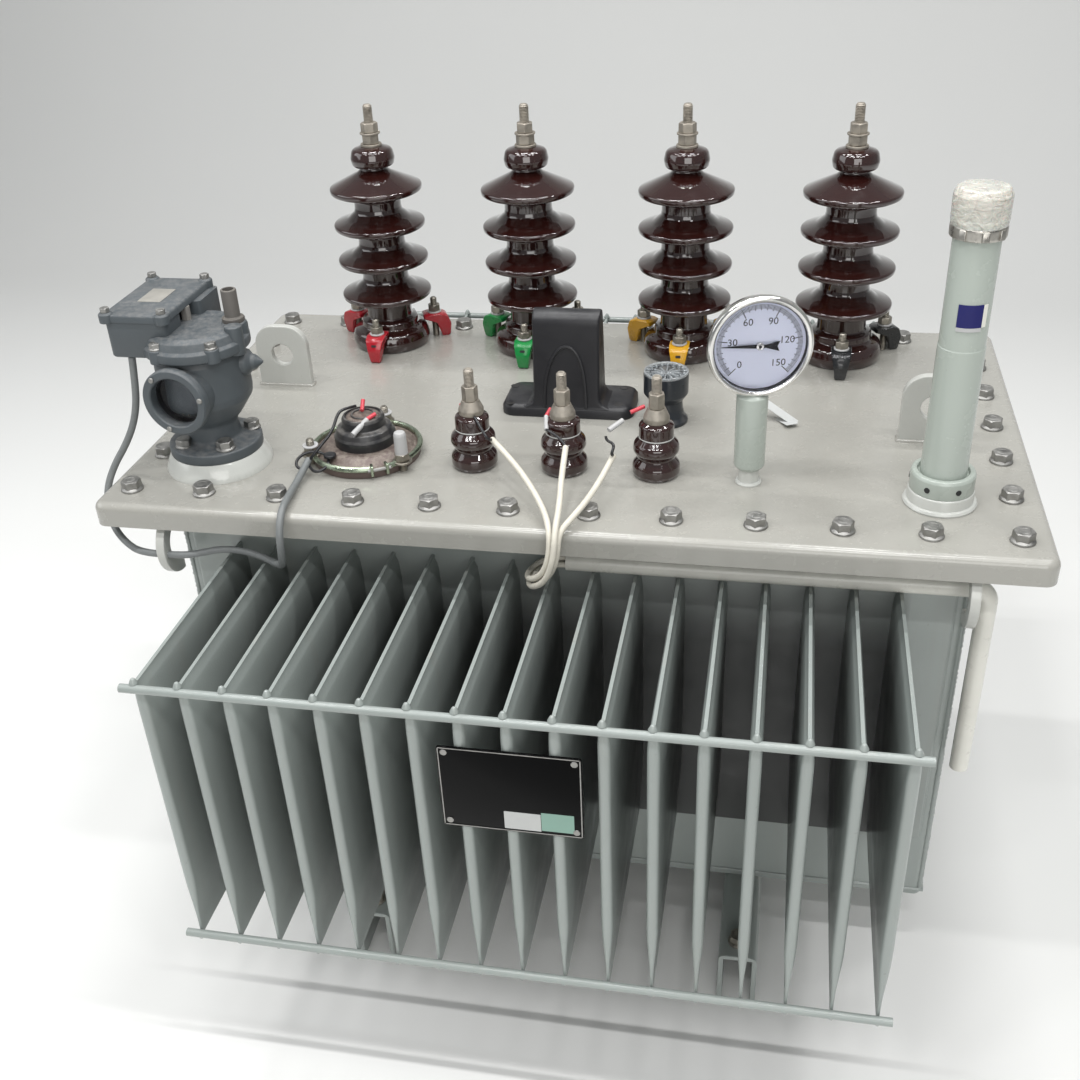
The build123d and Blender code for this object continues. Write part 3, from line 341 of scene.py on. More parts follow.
# Finishes
class Nodes:
    """A material with its shader and short ways to add nodes to it."""

    def __init__(self, name):
        self.material = bpy.data.materials.new(name)
        self.material.use_nodes = True
        self.tree = self.material.node_tree
        self.shader = self.tree.nodes["Principled BSDF"]
        self.place = self.tree.nodes.new("ShaderNodeTexCoord").outputs["Object"]

    def link(self, source, node, socket):
        """Join an output to a named or numbered input."""
        self.tree.links.new(source, node.inputs[socket])

    def add(self, kind, linked, socket, **constants):
        """A node of a kind, with one input joined to an output and constants on others."""
        node = self.tree.nodes.new(f"ShaderNode{kind}")
        for name, value in constants.items():
            node.inputs[name.replace("_", " ")].default_value = value
        self.link(linked, node, socket)
        return node

    def scaled(self, x, y, z):
        """Object coordinates stretched along the axes."""
        return self.add("Mapping", self.place, "Vector", Scale=(x, y, z)).outputs["Vector"]

    def noise(self, scale, detail=3.0, roughness=0.55, vector=None, distortion=0.0):
        """Noise from 0 to 1; scale is in waves per metre."""
        node = self.add("TexNoise", vector or self.place, "Vector", Scale=scale, Detail=detail,
                        Roughness=roughness, Distortion=distortion)
        return node.outputs["Fac"]

    def creases(self, scale, vector):
        """Distance to the nearest edge between cells round scattered points."""
        node = self.add("TexVoronoi", vector, "Vector", Scale=scale)
        node.feature = "DISTANCE_TO_EDGE"
        return node.outputs["Distance"]

    def spread(self, value, low, high, to_low=0.0, to_high=1.0):
        """A value carried from one range to another, held at its ends."""
        return self.add("MapRange", value, "Value", From_Min=low, From_Max=high, To_Min=to_low,
                        To_Max=to_high).outputs["Result"]

    def maths(self, operation, first, second):
        """One sum of two values, either of them an output or a number."""
        node = self.tree.nodes.new("ShaderNodeMath")
        node.operation = operation
        for socket, value in enumerate((first, second)):
            if isinstance(value, (int, float)):
                node.inputs[socket].default_value = value
            else:
                self.link(value, node, socket)
        return node.outputs["Value"]

    def blend(self, share, first, second):
        """Mix of two colours; each is an output or three numbers."""
        node = self.tree.nodes.new("ShaderNodeMix")
        node.data_type = "RGBA"
        self.link(share, node, "Factor")
        for socket, colour in ((6, first), (7, second)):
            if isinstance(colour, (tuple, list)):
                node.inputs[socket].default_value = (*colour, 1.0)
            else:
                self.link(colour, node, socket)
        return node.outputs[2]

    def part(self, vector, axis):
        """One coordinate of a vector."""
        return self.add("SeparateXYZ", vector, "Vector").outputs[axis]

    def upward(self):
        """How much a surface faces up, from 0 to 1."""
        geometry = self.tree.nodes.new("ShaderNodeNewGeometry")
        return self.spread(self.part(geometry.outputs["Normal"], "Z"), 0.2, 0.9)

    def height(self):
        """Height above the floor in metres."""
        return self.part(self.place, "Z")

    def from_middle(self, axis):
        """Distance from the part's middle along an axis, in metres."""
        return self.maths("ABSOLUTE", self.part(self.place, axis), 0.0)

    def bump(self, value, distance, strength=1.0, under=None):
        """Relief of the given depth in metres, over another relief if there is one."""
        node = self.add("Bump", value, "Height", Distance=distance, Strength=strength)
        if under is not None:
            self.link(under, node, "Normal")
        return node.outputs["Normal"]

    def set(self, **values):
        """Constants set straight on the shader's sockets."""
        for name, value in values.items():
            socket = self.shader.inputs[name.replace("_", " ")]
            socket.default_value = (*value, 1.0) if isinstance(value, tuple) else value

    def wire(self, **outputs):
        """Outputs joined to the shader's sockets."""
        for name, output in outputs.items():
            self.link(output, self.shader, name.replace("_", " "))


def shade(colour, factor):
    """A colour made darker or lighter."""
    return tuple(min(1.0, channel * factor) for channel in colour)


# Painted shade among the fins fades out between these distances from the part's middle, to the front and back
# and to the sides, and between these heights, in metres
FIN_SHADE_REACH = (0.30, 0.485)
FIN_SHADE_ENDS = (0.372, 0.378)
FIN_SHADE_TOP = (0.44, 0.545)
PALE_DUST = (0.36, 0.34, 0.30)


def enamel(name, colour, gloss=0.3, dirt=0.5, coat=0.35, patch=21.0, depth=0.0):
    """Sprayed enamel on steel: orange peel, faint runs, dust on top, grime in patches and painted shade in
    depth.
    """
    nodes = Nodes(name)
    dust = PALE_DUST
    clouds = nodes.noise(5.0, 5.0)
    runs = nodes.noise(1.0, 4.0, vector=nodes.scaled(38.0, 38.0, 2.2))
    base = nodes.blend(clouds, shade(colour, 0.92), shade(colour, 1.06))
    streak = nodes.spread(runs, 0.56, 0.74, 0.0, 0.35 * dirt)
    base = nodes.blend(streak, base, shade(dust, 0.72))
    grime = nodes.spread(nodes.noise(patch, 6.0, 0.62), 0.55, 0.72, 0.0, 0.55 * dirt)
    settled = nodes.maths("MULTIPLY", grime, nodes.upward())
    base = nodes.blend(settled, base, dust)
    specks = nodes.spread(nodes.noise(160.0, 2.0), 0.71, 0.78, 0.0, 0.5 * dirt)
    base = nodes.blend(specks, base, shade(dust, 0.45))
    # depth is the strength of painted shade: near black towards the wall, inside the end fins and below the
    # fin tops
    if depth:
        inward = nodes.spread(nodes.from_middle("Y"), *FIN_SHADE_REACH, depth, 0.0)
        among = nodes.spread(nodes.from_middle("X"), *FIN_SHADE_ENDS, 1.0, 0.0)
        below = nodes.spread(nodes.height(), *FIN_SHADE_TOP, 1.0, 0.0)
        share = nodes.maths("MULTIPLY", nodes.maths("MULTIPLY", inward, among), below)
        # painted shade: blend towards near black where the fins shade each other
        base = nodes.blend(share, base, shade(colour, 0.05))
    rough = nodes.spread(nodes.noise(30.0, 4.0), 0.3, 0.7, gloss * 0.85, gloss * 1.25)
    rough = nodes.maths("ADD", rough, nodes.maths("MULTIPLY", settled, 0.35))
    relief = nodes.bump(nodes.noise(9.0, 2.0), 0.0012, 0.35)
    relief = nodes.bump(nodes.noise(420.0, 2.0), 0.00025, 0.5, relief)
    nodes.wire(Base_Color=base, Roughness=rough, Normal=relief)
    nodes.set(Coat_Weight=coat, Coat_Roughness=0.16, Specular_IOR_Level=0.5)
    return nodes.material


def glaze(name, colour):
    """Brown glazed porcelain, thick and wet-looking, with faint pinholes and pooling."""
    nodes = Nodes(name)
    pooled = nodes.noise(34.0, 4.0, vector=nodes.scaled(1.0, 1.0, 2.5))
    base = nodes.blend(pooled, shade(colour, 0.75), shade(colour, 1.3))
    pits = nodes.spread(nodes.noise(330.0, 1.0), 0.70, 0.80)
    base = nodes.blend(pits, base, shade(colour, 0.35))
    rough = nodes.spread(nodes.noise(60.0, 3.0), 0.3, 0.7, 0.05, 0.13)
    relief = nodes.bump(nodes.noise(48.0, 2.0), 0.0006, 0.4)
    nodes.wire(Base_Color=base, Roughness=rough, Normal=relief)
    nodes.set(Coat_Weight=0.9, Coat_Roughness=0.025, Specular_IOR_Level=0.6)
    return nodes.material


def plated(name, colour, rough=0.38, dull=0.35):
    """Zinc or nickel plating with a dull bloom and darker pits."""
    nodes = Nodes(name)
    bloom = nodes.noise(130.0, 5.0, 0.65)
    base = nodes.blend(nodes.spread(bloom, 0.35, 0.7), shade(colour, 0.8), shade(colour, 1.15))
    tarnish = nodes.spread(nodes.noise(60.0, 4.0, 0.6), 0.52, 0.72, 0.0, dull)
    base = nodes.blend(tarnish, base, shade(colour, 0.45))
    rough_out = nodes.spread(bloom, 0.3, 0.75, rough * 0.75, rough * 1.4)
    relief = nodes.bump(nodes.noise(700.0, 2.0), 0.0002, 0.25)
    nodes.wire(Base_Color=base, Roughness=rough_out, Normal=relief)
    nodes.set(Metallic=1.0)
    return nodes.material


def casting(name, colour, rough=0.5, metal=0.0, dust=(0.40, 0.36, 0.30), dirt=0.6):
    """Painted or bare casting with a sandy skin, rubbed high spots and dust that stays on top."""
    nodes = Nodes(name)
    clouds = nodes.noise(28.0, 5.0)
    base = nodes.blend(clouds, shade(colour, 0.82), shade(colour, 1.15))
    rubbed = nodes.spread(nodes.noise(75.0, 6.0, 0.7), 0.62, 0.74, 0.0, 0.3)
    base = nodes.blend(rubbed, base, shade(colour, 1.4))
    settled = nodes.maths("MULTIPLY", nodes.spread(nodes.noise(170.0, 6.0, 0.7), 0.4, 0.75, 0.0, dirt),
                          nodes.upward())
    base = nodes.blend(settled, base, dust)
    rough_out = nodes.maths("ADD", nodes.spread(clouds, 0.3, 0.7, rough * 0.85, rough * 1.15),
                            nodes.maths("MULTIPLY", settled, 0.3))
    relief = nodes.bump(nodes.noise(260.0, 3.0), 0.0004, 0.45)
    relief = nodes.bump(nodes.noise(60.0, 2.0), 0.0008, 0.35, relief)
    nodes.wire(Base_Color=base, Roughness=rough_out, Normal=relief)
    nodes.set(Metallic=metal, Coat_Weight=0.12, Coat_Roughness=0.3)
    return nodes.material


def moulded(name, colour, rough=0.42, dust=(0.33, 0.31, 0.28), dirt=0.35, coat=0.0, shine=0.5):
    """Moulded plastic with a fine grain, scuffs and a little dust."""
    nodes = Nodes(name)
    base = nodes.blend(nodes.noise(16.0, 4.0), shade(colour, 0.86), shade(colour, 1.16))
    scuff = nodes.spread(nodes.noise(1.0, 5.0, 0.7, nodes.scaled(90.0, 90.0, 320.0)), 0.6, 0.75, 0.0,
                         0.3 * dirt)
    base = nodes.blend(scuff, base, shade(dust, 0.9))
    settled = nodes.maths("MULTIPLY", nodes.spread(nodes.noise(46.0, 5.0), 0.4, 0.7, 0.0, dirt),
                          nodes.upward())
    base = nodes.blend(settled, base, dust)
    rough_out = nodes.spread(nodes.noise(85.0, 3.0), 0.3, 0.7, rough * 0.85, rough * 1.2)
    relief = nodes.bump(nodes.noise(900.0, 2.0), 0.00018, 0.5)
    nodes.wire(Base_Color=base, Roughness=rough_out, Normal=relief)
    nodes.set(Coat_Weight=coat, Coat_Roughness=0.1, Specular_IOR_Level=shine)
    return nodes.material


def polished(name, colour, rough=0.16):
    """Bright chrome with fine hairlines."""
    nodes = Nodes(name)
    lines = nodes.noise(1.0, 2.0, vector=nodes.scaled(60.0, 900.0, 900.0))
    base = nodes.blend(lines, shade(colour, 0.9), shade(colour, 1.06))
    nodes.wire(Base_Color=base, Roughness=nodes.spread(lines, 0.3, 0.7, rough * 0.6, rough * 1.5))
    nodes.set(Metallic=1.0)
    return nodes.material


def clear(name, tint, rough, weight, bend=1.46):
    """Flat glass, slightly dusty."""
    nodes = Nodes(name)
    film = nodes.spread(nodes.noise(45.0, 5.0), 0.45, 0.8, rough, rough + 0.12)
    base = nodes.blend(nodes.noise(20.0), shade(tint, 0.97), tint)
    nodes.wire(Base_Color=base, Roughness=film)
    nodes.set(Transmission_Weight=weight, IOR=bend)
    return nodes.material


def printed(name, colour, rough=0.5, change=0.05):
    """Plain printed or papered surface with a trace of unevenness."""
    nodes = Nodes(name)
    base = nodes.blend(nodes.noise(70.0, 4.0), shade(colour, 1 - change), shade(colour, 1 + change))
    rough_out = nodes.spread(nodes.noise(140.0), 0.3, 0.7, rough * 0.9, rough * 1.1)
    nodes.wire(Base_Color=base, Roughness=rough_out, Normal=nodes.bump(nodes.noise(600.0), 0.00008, 0.4))
    return nodes.material


def sleeving(name, colour, rough=0.55, braid=1.0):
    """Cable sheath or woven sleeve with rings along its length and handling marks."""
    nodes = Nodes(name)
    weave = nodes.noise(1300.0 * braid, 1.0)
    base = nodes.blend(nodes.noise(90.0, 4.0), shade(colour, 0.84), shade(colour, 1.1))
    marks = nodes.spread(nodes.noise(210.0, 3.0), 0.6, 0.72, 0.0, 0.35)
    base = nodes.blend(marks, base, shade(colour, 0.6))
    nodes.wire(Base_Color=base, Roughness=nodes.spread(weave, 0.3, 0.7, rough * 0.85, rough * 1.15),
               Normal=nodes.bump(weave, 0.0002, 0.6))
    return nodes.material


def wrapped_film(name, colour):
    """Pale plastic under crumpled clear film."""
    nodes = Nodes(name)
    folds = nodes.noise(1.0, 5.0, 0.6, nodes.scaled(70.0, 70.0, 150.0), 1.6)
    creases = nodes.creases(85.0, nodes.scaled(1.0, 1.0, 0.55))
    base = nodes.blend(nodes.spread(folds, 0.3, 0.7), shade(colour, 0.72), shade(colour, 1.12))
    relief = nodes.bump(nodes.spread(creases, 0.0, 0.12), 0.0012, 0.5)
    relief = nodes.bump(folds, 0.003, 0.8, relief)
    nodes.wire(Base_Color=base, Roughness=nodes.spread(folds, 0.3, 0.7, 0.12, 0.42), Normal=relief)
    nodes.set(Coat_Weight=0.9, Coat_Roughness=0.08, Subsurface_Weight=0.1)
    return nodes.material


TANK_COLOUR = (0.285, 0.315, 0.300)
RUBBER_COLOUR = (0.014, 0.014, 0.016)

# Each finish: how it is made, the material's name, its colour and what differs from the usual
FINISHES = {
    "tank": (enamel, "tank_enamel", TANK_COLOUR, dict(gloss=0.34)),
    # fin enamel with painted shade that darkens the gaps between the fins
    "fins": (enamel, "fin_enamel", TANK_COLOUR, dict(gloss=0.34, depth=0.92)),
    "cover": (enamel, "cover_enamel", (0.335, 0.328, 0.298),
              dict(gloss=0.24, coat=0.5, dirt=0.3, patch=75.0)),
    "hooks": (enamel, "hook_enamel", (0.47, 0.475, 0.445), dict(gloss=0.32)),
    "seam": (enamel, "seam_enamel", shade(TANK_COLOUR, 0.98), dict(gloss=0.32, dirt=0.25)),
    "stub": (enamel, "stub_enamel", (0.52, 0.53, 0.50), dict(gloss=0.16, coat=0.7, dirt=0.25)),
    "gauge": (enamel, "gauge_enamel", (0.375, 0.415, 0.375), dict(gloss=0.24, dirt=0.3)),
    "red": (enamel, "red_enamel", (0.36, 0.008, 0.018), dict(gloss=0.25, dirt=0.2)),
    "green": (enamel, "green_enamel", (0.003, 0.21, 0.042), dict(gloss=0.25, dirt=0.2)),
    "yellow": (enamel, "yellow_enamel", (0.56, 0.29, 0.010), dict(gloss=0.25, dirt=0.2)),
    "black": (enamel, "black_enamel", (0.010, 0.011, 0.013), dict(gloss=0.25, dirt=0.2)),
    "glaze": (glaze, "brown_glaze", (0.021, 0.0058, 0.0048), {}),
    "zinc": (plated, "zinc_plating", (0.36, 0.335, 0.29), dict(rough=0.42)),
    "dull_zinc": (plated, "dull_zinc_plating", (0.36, 0.355, 0.34), dict(rough=0.5, dull=0.6)),
    "bare": (plated, "bare_metal", (0.50, 0.48, 0.44), dict(rough=0.3, dull=0.2)),
    "beige_metal": (plated, "beige_metal", (0.42, 0.385, 0.335), dict(rough=0.58, dull=0.3)),
    "band": (plated, "passivated_band", (0.36, 0.42, 0.32), dict(rough=0.3)),
    "relay": (casting, "relay_paint", (0.066, 0.078, 0.086), dict(dust=(0.22, 0.21, 0.20))),
    "relay_rubbed": (casting, "relay_rubbed", (0.20, 0.19, 0.175), dict(dirt=0.4)),
    "device": (casting, "aged_casting", (0.120, 0.088, 0.078), dict(rough=0.45, metal=0.3)),
    "pipe_metal": (casting, "pipe_metal", (0.135, 0.125, 0.115), dict(rough=0.65, metal=0.4, dirt=0.3)),
    "tray": (casting, "sight_screen", (0.030, 0.032, 0.032), dict(metal=0.2, dirt=0.1)),
    "rubber": (moulded, "black_rubber", RUBBER_COLOUR, dict(rough=0.4, dirt=0.5, coat=0.15)),
    "hood": (moulded, "hood_moulding", (0.0125, 0.0125, 0.0150),
             dict(rough=0.4, dust=(0.10, 0.10, 0.10), dirt=0.25)),
    "tap": (moulded, "tap_moulding", (0.013, 0.017, 0.023), dict(rough=0.3, coat=0.25)),
    "blue": (moulded, "blue_window", (0.004, 0.005, 0.100), dict(rough=0.12, dirt=0.0, coat=0.15, shine=0.3)),
    "plate": (moulded, "plate_gloss", (0.0012, 0.0012, 0.0014), dict(rough=0.14, dirt=0.0, shine=0.06)),
    # near-black painted shade, put in recesses, sleeves, slots and holes where only shade falls
    "dark": (moulded, "dark_inside", (0.008, 0.008, 0.010), dict(rough=0.5, dirt=0.1)),
    "conduit": (moulded, "conduit_plastic", (0.70, 0.69, 0.63), dict(rough=0.3, dirt=0.3, coat=0.3)),
    "white_cap": (moulded, "white_nylon", (0.44, 0.44, 0.44), dict(rough=0.35, dirt=0.25)),
    "rim": (clear, "clear_rim", (0.80, 0.84, 0.86), dict(rough=0.12, weight=0.75)),
    "glass": (clear, "dial_glass", (0.98, 0.98, 1.0), dict(rough=0.0, weight=1.0, bend=1.08)),
    "chrome": (polished, "dial_chrome", (0.78, 0.77, 0.75), {}),
    "face": (printed, "dial_face", (0.74, 0.77, 0.90), dict(rough=0.6, change=0.02)),
    "ink": (printed, "dial_ink", (0.003, 0.003, 0.006), {}),
    "label": (printed, "beige_label", (0.26, 0.25, 0.225), dict(rough=0.6, change=0.25)),
    "paper": (printed, "plain_paper", (0.48, 0.49, 0.48), dict(rough=0.6)),
    "mint": (printed, "mint_paper", (0.22, 0.36, 0.30), dict(rough=0.6)),
    "film": (wrapped_film, "crumpled_film", (0.58, 0.57, 0.51), {}),
    "cable": (sleeving, "cable_sheath", (0.17, 0.18, 0.18), dict(rough=0.45, braid=0.4)),
    "sleeve": (sleeving, "woven_sleeve", (0.62, 0.59, 0.51), {}),
    "black_wire": (sleeving, "black_insulation", RUBBER_COLOUR, dict(rough=0.35, braid=0.4)),
    "red_wire": (sleeving, "red_insulation", (0.55, 0.05, 0.07), dict(rough=0.35, braid=0.4)),
}
MADE = {}


def finish_of(name):
    """A finish by name, made the first time that it is asked for."""
    if name not in MADE:
        maker, title, colour, options = FINISHES[name]
        MADE[name] = maker(title, colour, **options)
    return MADE[name]


# Pieces
MERGE_DISTANCE = 0.00001
EDGE_SEGMENTS = 2
EDGE_ANGLE = radians(40)


def make_piece(name, form, finishes, replaces=(), sharp=32.0):
    """A mesh piece from a form, with its finishes, riding on the fixed body."""
    mesh = bpy.data.meshes.new(name)
    mesh.from_pydata((form.points * METRES).tolist(), [], form.faces)
    for finish in finishes:
        mesh.materials.append(finish_of(finish))
    mesh.polygons.foreach_set("material_index", form.finishes)
    mesh.polygons.foreach_set("use_smooth", [True] * len(mesh.polygons))
    mesh.set_sharp_from_angle(angle=radians(sharp))
    mesh.validate()
    piece = bpy.data.objects.new(name, mesh)
    bpy.context.scene.collection.objects.link(piece)
    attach(piece, "root")
    if replaces:
        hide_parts(*replaces)


def soften(piece, width):
    """Rounded edges on a carried-over node: points are joined, edges bevelled, normals weighted."""
    join = piece.modifiers.new("join", "WELD")
    join.merge_threshold = MERGE_DISTANCE
    bevel = piece.modifiers.new("edges", "BEVEL")
    bevel.width = width * METRES
    bevel.segments = EDGE_SEGMENTS
    bevel.limit_method = "ANGLE"
    bevel.angle_limit = EDGE_ANGLE
    weighted = piece.modifiers.new("normals", "WEIGHTED_NORMAL")
    weighted.keep_sharp = True


def dress(node, finish, bevel=0.0):
    """Give a carried-over node its finish and soft edges."""
    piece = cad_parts[node]
    piece.data.materials.clear()
    piece.data.materials.append(finish_of(finish))
    if bevel:
        soften(piece, bevel)


def lay_cord(name, node, route, radius, finish):
    """A cable or wire as one smooth spline through its listed points, given in millimetres."""
    curve = bpy.data.curves.new(name, "CURVE")
    curve.dimensions = "3D"
    curve.bevel_depth = radius * METRES
    curve.bevel_resolution = 5
    curve.resolution_u = 10
    curve.use_fill_caps = True
    spline = curve.splines.new("NURBS")
    spline.points.add(len(route) - 1)
    for point, place in zip(spline.points, route):
        point.co = (*(Vector(place) * METRES), 1.0)
    spline.order_u = 3
    spline.use_endpoint_u = True
    curve.materials.append(finish_of(finish))
    piece = bpy.data.objects.new(name, curve)
    bpy.context.scene.collection.objects.link(piece)
    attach(piece, "root")
    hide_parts(node)
    return piece


def cord_length(piece):
    """Length in metres of a cord's smooth line."""
    plain = piece.data.copy()
    plain.bevel_depth = 0.0
    probe = bpy.data.objects.new("probe", plain)
    mesh = bpy.data.meshes.new_from_object(probe)
    points = [vertex.co.copy() for vertex in mesh.vertices]
    bpy.data.objects.remove(probe)
    return sum((b - a).length for a, b in zip(points, points[1:]))


# Settings that a user would change
class TankSettings(bpy.types.PropertyGroup):
    weld_size: FloatProperty(name="Weld size", description="Radius of the weld beads", default=0.0022,
            unit="LENGTH")
    seam_size: FloatProperty(name="Seam size", description="Radius of the bead on each fin's ridge",
            default=0.0012, unit="LENGTH")
    edge: FloatProperty(name="Edge", description="Rounding of cut steel edges", default=0.0012,
                        unit="LENGTH")


class FinSettings(bpy.types.PropertyGroup):
    count: IntProperty(name="Fins", description="Number of fins on each long wall", default=17, min=2)
    width: FloatProperty(name="Width", description="Width across one fin", default=0.012, unit="LENGTH")
    seam: FloatProperty(name="Seam", description="Width of the pinched seams", default=0.0035,
                        unit="LENGTH")
    top_seam: FloatProperty(name="Top seam", description="Height of the upper seam", default=0.006,
                            unit="LENGTH")
    top_round: FloatProperty(name="Top round", description="Height over which the top swells out",
            default=0.034, unit="LENGTH")
    bottom_seam: FloatProperty(name="Bottom seam", description="Height of the lower seam", default=0.017,
            unit="LENGTH")
    bottom_taper: FloatProperty(name="Bottom taper", description="Height of the taper above it",
            default=0.07, unit="LENGTH")


class BoltSettings(bpy.types.PropertyGroup):
    size: FloatProperty(name="Bolt size", description="Thread diameter of the cover bolts", default=0.012,
                        unit="LENGTH")
    along: IntProperty(name="Bolts along", description="Bolts in a long row", default=12, min=2)
    across: IntProperty(name="Bolts across", description="Bolts in a short row, corners included",
                        default=7, min=2)
    inset_ends: FloatProperty(name="End inset", description="Bolt row to the cover's short edge",
            default=0.0325, unit="LENGTH")
    inset_sides: FloatProperty(name="Side inset", description="Bolt row to the cover's long edge",
            default=0.0385, unit="LENGTH")


class DialSettings(bpy.types.PropertyGroup):
    first_angle: FloatProperty(name="First mark", description="Direction of the lowest mark",
            default=radians(225), subtype="ANGLE")
    sweep: FloatProperty(name="Sweep", description="Turn from the lowest to the highest mark",
                         default=radians(270), subtype="ANGLE")
    reading: FloatProperty(name="Reading", description="Temperature that the pointer shows", default=26.0)
    turn: FloatProperty(name="Turn", description="Turn of the face towards the gauge",
                        default=radians(14.3), subtype="ANGLE")


class StageSettings(bpy.types.PropertyGroup):
    floor_colour: FloatVectorProperty(name="Floor", description="Colour of floor and backdrop",
            default=(0.80, 0.80, 0.785), subtype="COLOR", size=3)
    key_power: FloatProperty(name="Ceiling light", description="Power of each ceiling lamp", default=9.5,
            unit="POWER")
    world_strength: FloatProperty(name="Sky light", description="Strength of the even light", default=0.30)


SETTINGS = {"transformer_tank": TankSettings, "transformer_fins": FinSettings,
            "transformer_bolts": BoltSettings, "transformer_dial": DialSettings,
            "transformer_stage": StageSettings}


def settings(group):
    """One group of settings of the open scene."""
    return getattr(bpy.context.scene, f"transformer_{group}")


# Stage
CAMERA_PLACE = (0.2263, -1.3357, 1.2439)
CAMERA_RIGHT = (0.98137, 0.18733, -0.04265)
CAMERA_UP = (-0.06177, 0.51789, 0.85322)
CAMERA_AHEAD = (-0.18192, 0.83469, -0.51981)
CAMERA_LENS = 40.89
CAMERA_SENSOR = 36.0
CEILING_HEIGHT = 2.7
CEILING_LAMPS = [(x, y) for y in (-1.7, -0.6, 0.48) for x in (-1.1, -0.3, 0.5, 1.3)]
CEILING_LAMP_SIZE = (0.5, 0.06)
SIDE_LAMPS = (
    ("window", (-2.6, -0.6, 1.9), (2.2, 1.6), 20.0, (0.97, 0.985, 1.0)),
    ("fill", (0.7, -3.2, 1.5), (2.2, 1.2), 26.0, (1.0, 0.99, 0.97)),
)
SIDE_LAMP_TARGET = (0.0, 0.0, 0.5)
SKY_COLOUR = (0.93, 0.955, 0.97, 1.0)
BACKDROP_DISTANCE = 3.2
BACKDROP_HALF_WIDTH = 9.0


def add_camera():
    """Camera at the photograph's place and angle."""
    camera = bpy.data.objects.new("camera", bpy.data.cameras.new("camera"))
    bpy.context.scene.collection.objects.link(camera)
    camera.data.lens = CAMERA_LENS
    camera.data.sensor_width = CAMERA_SENSOR
    turn = Matrix((CAMERA_RIGHT, CAMERA_UP, -Vector(CAMERA_AHEAD))).transposed().to_4x4()
    camera.matrix_world = Matrix.Translation(CAMERA_PLACE) @ turn
    bpy.context.scene.camera = camera


def add_lamp(name, place, target, size, power, colour=(1.0, 1.0, 1.0)):
    """A soft rectangular lamp turned towards a point."""
    lamp = bpy.data.lights.new(name, "AREA")
    lamp.shape = "RECTANGLE"
    lamp.size, lamp.size_y = size
    lamp.energy = power
    lamp.color = colour
    holder = bpy.data.objects.new(name, lamp)
    bpy.context.scene.collection.objects.link(holder)
    holder.location = place
    holder.rotation_mode = "QUATERNION"
    holder.rotation_quaternion = (Vector(target) - Vector(place)).to_track_quat("-Z", "Y")


def backdrop_finish(colour):
    """Pale matt floor that shows as plain paper to the camera and in reflections."""
    nodes = Nodes("pale_floor")
    tone = nodes.blend(nodes.noise(1.5, 3.0), shade(colour, 0.985), shade(colour, 1.01))
    nodes.wire(Base_Color=tone)
    nodes.set(Roughness=0.85, Specular_IOR_Level=0.2)
    return nodes.material


class TRANSFORMER_OT_stage(bpy.types.Operator):
    """Set up the camera, the lamps, the floor and the backdrop"""

    bl_idname = "transformer.stage"
    bl_label = "Stage"

    def execute(self, context):
        values = settings("stage")
        add_camera()
        for number, (x, y) in enumerate(CEILING_LAMPS, start=1):
            add_lamp(f"ceiling_{number}", (x, y, CEILING_HEIGHT), (x, y, 0.0), CEILING_LAMP_SIZE,
                     values.key_power)
        for name, place, size, power, colour in SIDE_LAMPS:
            add_lamp(name, place, SIDE_LAMP_TARGET, size, power, colour)
        world = bpy.data.worlds.new("even_light")
        world.use_nodes = True
        sky = world.node_tree.nodes["Background"]
        sky.inputs["Color"].default_value = SKY_COLOUR
        sky.inputs["Strength"].default_value = values.world_strength
        context.scene.world = world
        context.scene.view_settings.view_transform = "Standard"

        bend = softened([(-BACKDROP_HALF_WIDTH, 0), (BACKDROP_DISTANCE, 0, 1.2), (BACKDROP_DISTANCE, 4.5)],
                        16)
        rows = [(x, y, z) for x in (-BACKDROP_HALF_WIDTH, BACKDROP_HALF_WIDTH) for y, z in bend]
        count = len(bend)
        mesh = bpy.data.meshes.new("floor")
        mesh.from_pydata(rows, [], [(i, i + count, i + count + 1, i + 1) for i in range(count - 1)])
        mesh.polygons.foreach_set("use_smooth", [True] * len(mesh.polygons))
        mesh.materials.append(backdrop_finish(tuple(values.floor_colour)))
        floor = bpy.data.objects.new("floor", mesh)
        context.scene.collection.objects.link(floor)
        return {"FINISHED"}


